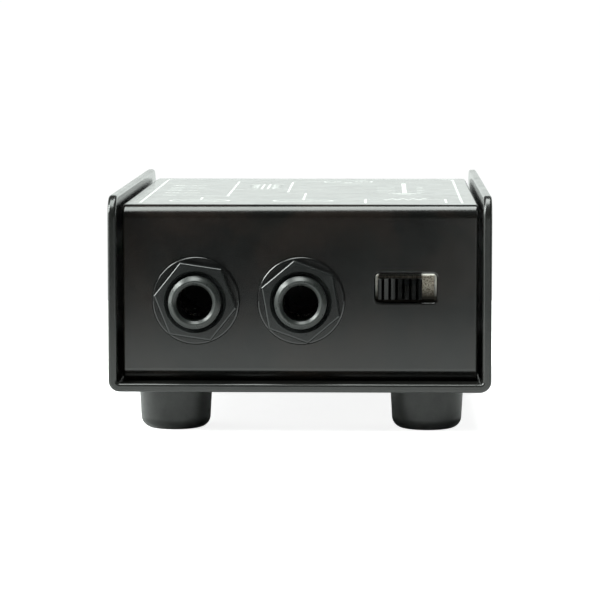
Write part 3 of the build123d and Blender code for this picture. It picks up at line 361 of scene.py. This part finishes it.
def studio_floor(name):
    """A plain pale floor, lifted towards white where it is seen, so that its shadows stay soft. From
    below it is clear, so that the underside shows."""
    surface = Surface(name, specular=0.1)
    surface.colour(surface.blend(surface.noise(40 * MM), (0.75, 0.75, 0.75), (0.77, 0.77, 0.77)))
    surface.shader.inputs["Roughness"].default_value = 0.9
    surface.shader.inputs["Emission Color"].default_value = WHITE
    seen = surface.nodes.new("ShaderNodeLightPath").outputs["Is Camera Ray"]
    lift = surface.remap(seen, 0.0, 1.0, 0.0, FLOOR_GLOW)
    surface.links.new(lift, surface.shader.inputs["Emission Strength"])
    clear = surface.nodes.new("ShaderNodeBsdfTransparent")
    mix = surface.nodes.new("ShaderNodeMixShader")
    below = surface.nodes.new("ShaderNodeNewGeometry").outputs["Backfacing"]
    surface.links.new(below, mix.inputs["Fac"])
    surface.links.new(surface.shader.outputs["BSDF"], mix.inputs[1])
    surface.links.new(clear.outputs["BSDF"], mix.inputs[2])
    surface.links.new(mix.outputs["Shader"], surface.nodes["Material Output"].inputs["Surface"])
    return surface.material


def dress(material, *nodes):
    """Puts one material on each of these CAD nodes."""
    for node in nodes:
        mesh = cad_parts[node].data
        mesh.materials.clear()
        mesh.materials.append(material)


def both(pattern):
    """The two jacks' nodes of one kind."""
    return [pattern.format(number) for number in (1, 2)]


def dress_case():
    clean, dusty = (0.008, 0.0085, 0.008), (0.013, 0.013, 0.012)
    dress(powder_coat("tray_coat", clean, dusty, (0.21, 0.26), 22 * MM), "tray")
    clean, dusty = (0.004, 0.0042, 0.004), (0.0115, 0.0085, 0.007)
    dress(powder_coat("cover_coat", clean, dusty, (0.18, 0.22), 13 * MM), "cover")
    feet = [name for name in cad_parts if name.startswith(("foot_front", "foot_rear"))]
    dress(rubber("foot_rubber"), *feet)
    zinc = bare_metal("zinc_plate", (0.62, 0.63, 0.64), (0.42, 0.41, 0.38), (0.3, 0.48))
    dress(zinc, "foot_screws", "foot_washers", "clinch_nuts", "xlr_nuts")


def dress_jacks():
    plastic = moulded_plastic("jack_plastic", (0.016, 0.018, 0.017), (0.021, 0.023, 0.022), (0.26, 0.33))
    dress(plastic, *both("jack_{}_housing"))
    plastic = moulded_plastic("nut_plastic", (0.011, 0.012, 0.012), (0.014, 0.015, 0.015), (0.17, 0.21))
    dress(plastic, *both("jack_{}_nut"))
    clean, dusty = (0.005, 0.005, 0.005), (0.009, 0.009, 0.009)
    washer = powder_coat("washer_black", clean, dusty, (0.16, 0.22), 5 * MM, 0.2 * MM)
    dress(washer, *both("jack_{}_washer"))
    nickel = bare_metal("nickel_plate", (0.75, 0.72, 0.66), (0.5, 0.46, 0.4), (0.18, 0.32), (1, 0.2, 1))
    for kind in ("jack_{}_sleeve_contact", "jack_{}_tip_terminal", "jack_{}_tip_spring"):
        dress(nickel, *both(kind))
    dress(nickel, "switch_terminals", "switch_wipers")


def dress_switch():
    knob = moulded_plastic("knob_plastic", (0.001, 0.001, 0.001), (0.0025, 0.0025, 0.0025), (0.1, 0.16))
    dress(knob, "switch_knob")
    dress(switch_plate("switch_plate"), "switch_frame")
    dress(phenolic("phenolic"), "switch_base")


def dress_board():
    dress(solder_resist("solder_resist"), "circuit_board")
    low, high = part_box("resistor_bodies")
    dress(banded_lacquer("resistor_lacquer", (0.22, 0.45, 0.6), low.y, high.y), "resistor_bodies")
    dress(glossy_plastic("capacitor_box", (0.5, 0.035, 0.02), (0.62, 0.07, 0.04)), "capacitor_body")
    tinned = bare_metal("tinned_copper", (0.72, 0.71, 0.69), (0.5, 0.49, 0.46), (0.25, 0.42))
    dress(tinned, "resistor_leads", "capacitor_leads", "transformer_pins")


def dress_transformer():
    dress(laminations("core_steel"), "transformer_e_core", "transformer_i_core")
    nylon = moulded_plastic("bobbin_nylon", (0.03, 0.03, 0.03), (0.05, 0.05, 0.048), (0.4, 0.55))
    dress(nylon, "transformer_bobbin")
    dress(winding_tape("winding_tape"), "transformer_winding")
    strap = bare_metal("strap_steel", (0.6, 0.6, 0.59), (0.42, 0.41, 0.4), (0.3, 0.45), (0.15, 1, 1))
    dress(strap, "transformer_clamp")


def dress_output():
    clean, dusty = (0.014, 0.014, 0.014), (0.024, 0.024, 0.023)
    dress(powder_coat("shell_black", clean, dusty, (0.24, 0.36), 6 * MM, 0.3 * MM), "xlr_shell")
    insert = moulded_plastic("insert_plastic", (0.012, 0.012, 0.012), (0.02, 0.02, 0.02), (0.4, 0.55))
    dress(insert, "xlr_insert")
    silver = bare_metal("silver_plate", (0.83, 0.8, 0.72), (0.6, 0.55, 0.45), (0.14, 0.26))
    dress(silver, "xlr_pins")
    steel = bare_metal("blackened_steel", (0.09, 0.09, 0.09), (0.05, 0.048, 0.045), (0.3, 0.45))
    dress(steel, "xlr_screws")
    red = ((0.5, 0.02, 0.015), (0.6, 0.05, 0.03))
    green = ((0.02, 0.25, 0.05), (0.04, 0.33, 0.08))
    white = ((0.72, 0.72, 0.69), (0.8, 0.8, 0.78))
    for number, (colour, faded) in enumerate((red, green, white), start=1):
        dress(glossy_plastic(f"wire_{number}_sleeve", colour, faded), f"wire_{number}")


# ---- Mesh helpers ---------------------------------------------------------------------------------

# A mitred corner reaches out at most half the line's width over this.
MITRE_LIMIT = 0.3
CORNER_STEPS = 5
WELD_DISTANCE = 0.001 * MM
SORTING_DIGITS = 5


def make_piece(name, bm, material, body="case"):
    """Turns a bmesh into a piece that rides a body."""
    mesh = bpy.data.meshes.new(name)
    bmesh.ops.recalc_face_normals(bm, faces=bm.faces)
    bm.to_mesh(mesh)
    bm.free()
    piece = bpy.data.objects.new(name, mesh)
    bpy.context.scene.collection.objects.link(piece)
    mesh.materials.append(material)
    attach(piece, body)


def add_prism(bm, outline, low, high):
    """A flat shape from its corners, standing from one height to another."""
    bottom = [bm.verts.new((x, y, low)) for x, y in outline]
    top = [bm.verts.new((x, y, high)) for x, y in outline]
    bm.faces.new(bottom)
    bm.faces.new(top)
    count = len(outline)
    for i in range(count):
        j = (i + 1) % count
        bm.faces.new((bottom[i], bottom[j], top[j], top[i]))


def add_line(bm, points, width, low, high, closed=False):
    """A line of even width through (x, y) points, with mitred corners."""
    count = len(points)
    points = [Vector(p) for p in points]
    sides = []
    for i, point in enumerate(points):
        before = points[i - 1] if closed or i > 0 else None
        after = points[(i + 1) % count] if closed or i < count - 1 else None
        into = (point - before).normalized() if before else (after - point).normalized()
        out = (after - point).normalized() if after else into
        normal = Vector((-into.y - out.y, into.x + out.x)).normalized()
        reach = width / 2 / max(MITRE_LIMIT, normal.dot(Vector((-into.y, into.x))))
        sides.append((point + normal * reach, point - normal * reach))
    for i in range(count if closed else count - 1):
        left, right = sides[i]
        next_left, next_right = sides[(i + 1) % count]
        add_prism(bm, [left, next_left, next_right, right], low, high)


def arc(centre, radius, start, end, steps=12):
    """Points along an arc, from one angle to another in degrees."""
    angles = [math.radians(start + (end - start) * i / steps) for i in range(steps + 1)]
    return [(centre[0] + radius * math.cos(a), centre[1] + radius * math.sin(a)) for a in angles]


def circle(centre, radius, segments):
    """Evenly spaced points round a circle."""
    return arc(centre, radius, 0, 360 - 360 / segments, segments - 1)


def rounded_box(low, high, radius):
    """The outline of a rectangle with round corners."""
    (x0, y0), (x1, y1) = low, high
    outline = arc((x1 - radius, y0 + radius), radius, -90, 0, CORNER_STEPS)
    outline += arc((x1 - radius, y1 - radius), radius, 0, 90, CORNER_STEPS)
    outline += arc((x0 + radius, y1 - radius), radius, 90, 180, CORNER_STEPS)
    return outline + arc((x0 + radius, y0 + radius), radius, 180, 270, CORNER_STEPS)


def islands(node):
    """The boxes of a CAD node's separate solids, as (lowest corner, highest corner)."""
    bm = bmesh.new()
    bm.from_mesh(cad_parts[node].data)
    bmesh.ops.remove_doubles(bm, verts=bm.verts, dist=WELD_DISTANCE)
    unseen = set(bm.verts)
    boxes = []
    while unseen:
        stack = [unseen.pop()]
        members = list(stack)
        while stack:
            vert = stack.pop()
            for edge in vert.link_edges:
                other = edge.other_vert(vert)
                if other in unseen:
                    unseen.remove(other)
                    stack.append(other)
                    members.append(other)
        xs, ys, zs = zip(*(v.co for v in members))
        boxes.append((Vector((min(xs), min(ys), min(zs))), Vector((max(xs), max(ys), max(zs)))))
    bm.free()
    return sorted(boxes, key=lambda b: (round(b[0].x, SORTING_DIGITS), round(b[0].y, SORTING_DIGITS)))


# ---- Printing on the top --------------------------------------------------------------------------
# Generic signal-flow line art, with no lettering: jacks, an attenuator over the switch, a
# transformer, the output socket and a ground mark. A stroke is its points, whether it is closed and
# its width. Places along Y are from the cover's front or rear edge where the name says so, and
# otherwise from the middle of the box. "Aside" is a distance along X.

BORDER_SIDE_GAP = 2.8 * MM
BORDER_LEFT_END_FROM_FRONT = 7 * MM
BORDER_RIGHT_END_FROM_FRONT = 6 * MM
BORDER_CORNER = 3 * MM
BORDER_CORNER_STEPS = 6
BORDER_CORNER_FROM_REAR = 8 * MM

JACK_ROW_FROM_FRONT = 13 * MM
JACK_MARK_HALF_WIDTH = 5.5 * MM
JACK_MARK_HALF_DEPTH = 2.6 * MM
JACK_MARK_CORNER = 2.5 * MM
PLUG_MARK_HALF_WIDTH = 3.6 * MM
JACK_LEAD_END = 9.5 * MM

THROUGH_LINE_ASIDE = 4.5 * MM
THROUGH_TURN_FROM_FRONT = 27 * MM
THROUGH_END_FROM_REAR = 14 * MM
CROSSING_ROW = 3.4 * MM
CROSSING_PAST_JACK = 3 * MM
SIGNAL_LINE_ASIDE = 3.6 * MM
SIGNAL_LINE_ROWS = (-5 * MM, 31 * MM)
SIGNAL_TURN_ROW = -8 * MM

ATTENUATOR_ROW_FROM_FRONT = 18 * MM
ATTENUATOR_HALF_WIDTH = 7.5 * MM
ATTENUATOR_LEFT_LEG = 12 * MM
ATTENUATOR_RIGHT_LEG = 10 * MM
ZIGZAG_HALF_LENGTH = 4 * MM
ZIGZAG_SWING = 2.2 * MM
ZIGZAG_TURNS = 4

CORE_MARK_X = -8.4 * MM
CORE_LINE_ASIDE = 0.6 * MM
CORE_LINE_ROWS = (6 * MM, 23 * MM)
COIL_ASIDE = 3.4 * MM
COIL_ROWS = (7 * MM, 22 * MM)
COIL_LOOPS = 4
COIL_STEPS = 10

SOCKET_MARK_X = 8 * MM
SOCKET_FROM_REAR = 15 * MM
SOCKET_MARK_RADIUS = 5 * MM
SOCKET_MARK_SEGMENTS = 24
PIN_CIRCLE_RADIUS = 2.6 * MM
PIN_ANGLES = (30, 150, 270)
PIN_MARK_RADIUS = 0.7 * MM
PIN_MARK_SEGMENTS = 6

GROUND_ROWS = (-8.4 * MM, 26 * MM)
GROUND_BAR_HALF_WIDTH = 3.2 * MM
GROUND_BAR_TAPER = 1 * MM
GROUND_BAR_PITCH = 1.4 * MM
GROUND_BARS = 3

# Ticks in rows: the first row, the pitch and how many, and then where each tick starts and ends in X.
# The switch's are measured from the middle of the switch.
SWITCH_TICKS = (-4 * MM, 5.5 * MM, 4)
SWITCH_TICK_THIN = (-5.4 * MM, -1.8 * MM)
SWITCH_TICK_BOLD = (2.4 * MM, 3.8 * MM)
SIDE_TICKS = (-15 * MM, 8.2 * MM, 5)
SIDE_TICK_BOLD = (-27.4 * MM, -24.6 * MM)
SIDE_TICK_THIN = (-23.6 * MM, -20.6 * MM)


def stroke(*points, closed=False, width=INK_LINE):
    return points, closed, width


def border_mark(edge, front, rear):
    """A line round the sides and rear with two round corners, open at the front."""
    corner_row = rear - BORDER_CORNER_FROM_REAR
    corner_x = edge - BORDER_CORNER
    points = [(-edge, front + BORDER_LEFT_END_FROM_FRONT)]
    points += arc((-corner_x, corner_row), BORDER_CORNER, 180, 90, BORDER_CORNER_STEPS)
    points += arc((corner_x, corner_row), BORDER_CORNER, 90, 0, BORDER_CORNER_STEPS)
    points.append((edge, front + BORDER_RIGHT_END_FROM_FRONT))
    return [stroke(*points)]


def jack_mark(x, y):
    """A plug in a jack, seen from above, and the line that leads from it."""
    low = (x - JACK_MARK_HALF_WIDTH, y - JACK_MARK_HALF_DEPTH)
    high = (x + JACK_MARK_HALF_WIDTH, y + JACK_MARK_HALF_DEPTH)
    return [
        stroke(*rounded_box(low, high, JACK_MARK_CORNER), closed=True),
        stroke((x - PLUG_MARK_HALF_WIDTH, y), (x + PLUG_MARK_HALF_WIDTH, y)),
        stroke((x, y + JACK_MARK_HALF_DEPTH), (x, y + JACK_LEAD_END)),
    ]


def signal_lines(first, second, front, rear):
    """The lines from the two jacks: one goes through to the rear, and one to the transformer."""
    through = first + THROUGH_LINE_ASIDE
    signal = second - SIGNAL_LINE_ASIDE
    turn = front + THROUGH_TURN_FROM_FRONT
    lead_end = front + JACK_ROW_FROM_FRONT + JACK_LEAD_END
    start, end = SIGNAL_LINE_ROWS
    return [
        stroke((first, turn), (through, turn), (through, rear - THROUGH_END_FROM_REAR)),
        stroke((through, CROSSING_ROW), (second + CROSSING_PAST_JACK, CROSSING_ROW)),
        stroke((signal, start), (signal, end)),
        stroke((second, lead_end), (second, SIGNAL_TURN_ROW), (signal, SIGNAL_TURN_ROW)),
    ]


def attenuator_mark(x, row):
    """A resistor's zigzag with a leg at each end."""
    left, right = x - ATTENUATOR_HALF_WIDTH, x + ATTENUATOR_HALF_WIDTH
    start, end = x - ZIGZAG_HALF_LENGTH, x + ZIGZAG_HALF_LENGTH
    points = zigzag((start, row), end - start, ZIGZAG_SWING, ZIGZAG_TURNS)
    return [
        stroke((left, row - ATTENUATOR_LEFT_LEG), (left, row), (start, row)),
        stroke(*points),
        stroke((end, row), (right, row), (right, row - ATTENUATOR_RIGHT_LEG)),
    ]


def zigzag(start, length, swing, turns):
    """A resistor's zigzag along X."""
    x, y = start
    step = length / (2 * turns)
    points = [start]
    for turn in range(2 * turns):
        points.append((x + (turn + 0.5) * step, y + (swing if turn % 2 else -swing)))
    return points + [(x + length, y)]


def transformer_mark():
    """Two windings that bulge towards the two lines of the core between them."""
    strokes = []
    for side in (-1, 1):
        strokes += coil(CORE_MARK_X + side * COIL_ASIDE, *COIL_ROWS, COIL_LOOPS, -side)
        core = CORE_MARK_X + side * CORE_LINE_ASIDE
        strokes.append(stroke(*[(core, row) for row in CORE_LINE_ROWS]))
    return strokes


def coil(x, low, high, loops, side):
    """A winding along Y: one stroke per loop, bulging to one side."""
    radius = (high - low) / (2 * loops)
    centres = [(x, low + (2 * loop + 1) * radius) for loop in range(loops)]
    end = -90 + side * 180
    return [stroke(*arc(centre, radius, -90, end, COIL_STEPS)) for centre in centres]


def socket_mark(x, y, signal):
    """The output socket and its three pins, and a line from it to the signal line."""
    strokes = [stroke(*circle((x, y), SOCKET_MARK_RADIUS, SOCKET_MARK_SEGMENTS), closed=True)]
    for angle in PIN_ANGLES:
        pin = arc((x, y), PIN_CIRCLE_RADIUS, angle, angle, 1)[0]
        strokes.append(stroke(*circle(pin, PIN_MARK_RADIUS, PIN_MARK_SEGMENTS), closed=True))
    return strokes + [stroke((x - SOCKET_MARK_RADIUS, y), (signal, y))]


def ground_mark(x):
    """A ground sign at the end of a long line, its bars shorter one after another."""
    foot, head = GROUND_ROWS
    strokes = [stroke((x, foot), (x, head), width=INK_BOLD)]
    for bar in range(GROUND_BARS):
        reach = GROUND_BAR_HALF_WIDTH - bar * GROUND_BAR_TAPER
        row = foot - bar * GROUND_BAR_PITCH
        strokes.append(stroke((x - reach, row), (x + reach, row), width=INK_BOLD))
    return strokes


def tick_marks(x, rows, *ticks):
    """Rows of short strokes. Each tick is where it starts and ends, from x, and its width."""
    first, pitch, count = rows
    levels = [first + number * pitch for number in range(count)]
    return [stroke((x + a, y), (x + b, y), width=width) for y in levels for (a, b), width in ticks]


def top_print():
    low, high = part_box("cover")
    front, rear = low.y, high.y
    jacks = [sum(corner.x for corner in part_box(name)) / 2 for name in both("jack_{}_washer")]
    switch = sum(corner.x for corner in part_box("switch_frame")) / 2
    strokes = border_mark(high.x - BORDER_SIDE_GAP, front, rear)
    for x in jacks:
        strokes += jack_mark(x, front + JACK_ROW_FROM_FRONT)
    strokes += signal_lines(*jacks, front, rear)
    strokes += attenuator_mark(switch, front + ATTENUATOR_ROW_FROM_FRONT)
    strokes += transformer_mark()
    strokes += socket_mark(SOCKET_MARK_X, rear - SOCKET_FROM_REAR, jacks[1] - SIGNAL_LINE_ASIDE)
    strokes += ground_mark(switch)
    thin, bold = (SWITCH_TICK_THIN, INK_LINE), (SWITCH_TICK_BOLD, INK_BOLD)
    strokes += tick_marks(switch, SWITCH_TICKS, thin, bold)
    bold, thin = (SIDE_TICK_BOLD, INK_BOLD), (SIDE_TICK_THIN, INK_LINE)
    strokes += tick_marks(0.0, SIDE_TICKS, bold, thin)
    bm = bmesh.new()
    for points, closed, width in strokes:
        add_line(bm, points, width, high.z, high.z + INK_THICKNESS, closed)
    make_piece("top_print", bm, screen_ink("screen_ink"))


# ---- On the board ---------------------------------------------------------------------------------


def pins_through_board():
    """Where each pin or lead passes through the board."""
    board_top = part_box("circuit_board")[1].z
    centres = []
    for node in ["transformer_pins", "capacitor_leads", *both("jack_{}_tip_terminal")]:
        centres += [((low + high) / 2) for low, high in islands(node)]
    for low, high in islands("resistor_leads"):
        middle = sum(c.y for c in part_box("resistor_bodies")) / 2
        outer = high.y if (low.y + high.y) / 2 > middle else low.y
        inward = RESISTOR_LEAD_INSET if outer < middle else -RESISTOR_LEAD_INSET
        centres.append(Vector(((low.x + high.x) / 2, outer + inward, board_top)))
    for low, high in islands("switch_terminals"):
        centres.append(Vector(((low.x + high.x) / 2, high.y - SWITCH_TERMINAL_INSET, board_top)))
    for node in both("jack_{}_sleeve_contact"):
        low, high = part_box(node)
        centres.append((low + high) / 2)
    for number in (1, 2, 3):
        low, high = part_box(f"wire_{number}")
        centres.append(Vector(((low.x + high.x) / 2, low.y + WIRE_INSET, board_top)))
    return [(c.x, c.y) for c in centres]


def solder_joints(places):
    """A concave cone of solder round each pin, on the board's top."""
    board_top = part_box("circuit_board")[1].z
    bm = bmesh.new()
    for x, y in places:
        rings = []
        for share, rise in SOLDER_PROFILE:
            z = board_top + SOLDER_LIFT + rise * SOLDER_HEIGHT
            ring = circle((x, y), share * SOLDER_RADIUS, SOLDER_SEGMENTS)
            rings.append([bm.verts.new((px, py, z)) for px, py in ring])
        for lower, upper in zip(rings, rings[1:]):
            for i in range(SOLDER_SEGMENTS):
                j = (i + 1) % SOLDER_SEGMENTS
                bm.faces.new((lower[i], lower[j], upper[j], upper[i]))
        bm.faces.new(rings[0])
        bm.faces.new(rings[-1])
    for face in bm.faces:
        face.smooth = True
    solder = bare_metal("solder", (0.78, 0.78, 0.76), (0.6, 0.6, 0.58), (0.2, 0.36))
    make_piece("solder_joints", bm, solder)


def board_traces(places):
    """Copper tracks under the resist, each from one joint to the next but one, with 45 degree corners.
    Each stands a little higher than the one before, so that none shares a face with another."""
    board_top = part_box("circuit_board")[1].z
    ordered = sorted(places, key=lambda p: (p[1], p[0]))
    bm = bmesh.new()
    top = board_top + TRACE_THICKNESS
    for (x0, y0), (x1, y1) in zip(ordered, ordered[2:]):
        jog = min(abs(x1 - x0), abs(y1 - y0))
        corner_x = x1 - math.copysign(jog, x1 - x0)
        corner_y = y0 + math.copysign(jog, y1 - y0)
        points = [(x0, y0), (corner_x, y0), (x1, corner_y), (x1, y1)]
        kept = [points[0]]
        for point in points[1:]:
            if math.dist(point, kept[-1]) > TRACE_SHORTEST:
                kept.append(point)
        if len(kept) > 1:
            add_line(bm, kept, TRACE_WIDTH, board_top, top)
            top += TRACE_STEP
    resist = glossy_plastic("traced_resist", (0.02, 0.2, 0.06), (0.03, 0.26, 0.08), (0.25, 0.4))
    make_piece("board_traces", bm, resist)


# ---- Studio ---------------------------------------------------------------------------------------

BOX_MIDDLE = (0.0, 0.0, 0.02)
KNOB_SIDE = (0.02, -0.05, 0.026)

# Each soft light's name, place, target, width and height, and brightness.
LIGHTS = (
    ("overhead", (-0.05, -0.08, 0.9), BOX_MIDDLE, (0.35, 1.15), 9.0),
    ("upper_left", (-0.6, -0.26, 0.5), BOX_MIDDLE, (0.4, 0.42), 24.0),
    ("left_side", (-0.8, 0.05, 0.09), BOX_MIDDLE, (0.55, 0.3), 5.0),
    ("right_side", (0.8, 0.17, 0.14), BOX_MIDDLE, (0.3, 0.26), 3.0),
    ("front_left", (-0.6, -0.52, 0.1), BOX_MIDDLE, (0.18, 0.3), 3.0),
    ("knob_card", (0.083, -0.285, 0.026), KNOB_SIDE, (0.07, 0.05), 1.7),
)

# The bright band in the surround, by the Y and Z of the direction looked in: where it fades out and
# where it is full.
BAND_BEHIND = (-0.3, 0.45)
BAND_LOW_DOWN = (0.6, 0.06)


def studio():
    bm = bmesh.new()
    rim = circle((0, 0), FLOOR_RADIUS, FLOOR_SEGMENTS)
    bm.faces.new([bm.verts.new((x, y, 0)) for x, y in rim])
    mesh = bpy.data.meshes.new("floor")
    bm.to_mesh(mesh)
    bm.free()
    floor = bpy.data.objects.new("floor", mesh)
    bpy.context.scene.collection.objects.link(floor)
    mesh.materials.append(studio_floor("studio_floor"))

    for light in LIGHTS:
        soft_light(*light)
    backdrop()


def soft_light(name, place, target, size, radiance):
    """A rectangular soft box of a given brightness, aimed at a point."""
    data = bpy.data.lights.new(name, "AREA")
    data.shape = "RECTANGLE"
    data.size, data.size_y = size
    data.energy = radiance * math.pi * size[0] * size[1]
    data.color = LIGHT_TINT
    light = bpy.data.objects.new(name, data)
    light.location = place
    light.rotation_euler = (Vector(target) - Vector(place)).to_track_quat("-Z", "Y").to_euler()
    bpy.context.scene.collection.objects.link(light)


def smooth_step(nodes, links, value, low, high):
    """Rises smoothly from 0 to 1 as the value goes from low to high."""
    node = nodes.new("ShaderNodeMapRange")
    node.interpolation_type = "SMOOTHSTEP"
    node.inputs["From Min"].default_value = low
    node.inputs["From Max"].default_value = high
    links.new(value, node.inputs["Value"])
    return node.outputs["Result"]


def backdrop():
    """A white surround. All that the box reflects of it is a bright band low down behind the box,
    and a very faint glow elsewhere."""
    world = bpy.data.worlds.new("studio")
    bpy.context.scene.world = world
    world.use_nodes = True
    nodes, links = world.node_tree.nodes, world.node_tree.links
    nodes.clear()
    direction = nodes.new("ShaderNodeTexCoord")
    split = nodes.new("ShaderNodeSeparateXYZ")
    links.new(direction.outputs["Generated"], split.inputs["Vector"])
    behind = smooth_step(nodes, links, split.outputs["Y"], *BAND_BEHIND)
    low = smooth_step(nodes, links, split.outputs["Z"], *BAND_LOW_DOWN)
    band = nodes.new("ShaderNodeMath")
    band.operation = "MULTIPLY"
    links.new(behind, band.inputs[0])
    links.new(low, band.inputs[1])
    strength = nodes.new("ShaderNodeMath")
    strength.operation = "MULTIPLY_ADD"
    strength.inputs[1].default_value = HORIZON_GLOW
    strength.inputs[2].default_value = ROOM_GLOW
    links.new(band.outputs["Value"], strength.inputs[0])
    surround = nodes.new("ShaderNodeBackground")
    links.new(strength.outputs["Value"], surround.inputs["Strength"])
    plain = nodes.new("ShaderNodeBackground")
    plain.inputs["Strength"].default_value = SURROUND_GLOW
    surround.inputs["Color"].default_value = (*LIGHT_TINT, 1.0)
    plain.inputs["Color"].default_value = WHITE
    rays = nodes.new("ShaderNodeLightPath")
    mix = nodes.new("ShaderNodeMixShader")
    links.new(rays.outputs["Is Camera Ray"], mix.inputs["Fac"])
    links.new(surround.outputs["Background"], mix.inputs[1])
    links.new(plain.outputs["Background"], mix.inputs[2])
    output = nodes.new("ShaderNodeOutputWorld")
    links.new(mix.outputs["Shader"], output.inputs["Surface"])


def camera():
    tray_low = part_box("tray")[0]
    data = bpy.data.cameras.new("camera")
    data.lens = CAMERA_LENS
    data.sensor_width = SENSOR_WIDTH
    view = bpy.data.objects.new("camera", data)
    view.location = (CAMERA_SIDE, tray_low.y - CAMERA_DISTANCE, tray_low.z + CAMERA_HEIGHT)
    view.rotation_euler = (math.pi / 2 - CAMERA_PITCH, 0.0, CAMERA_YAW)
    bpy.context.scene.collection.objects.link(view)
    bpy.context.scene.camera = view
    bpy.context.scene.view_settings.view_transform = "Standard"


camera()
studio()
dress_case()
dress_jacks()
dress_switch()
dress_board()
dress_transformer()
dress_output()
top_print()
joints_on_board = pins_through_board()
solder_joints(joints_on_board)
board_traces(joints_on_board)
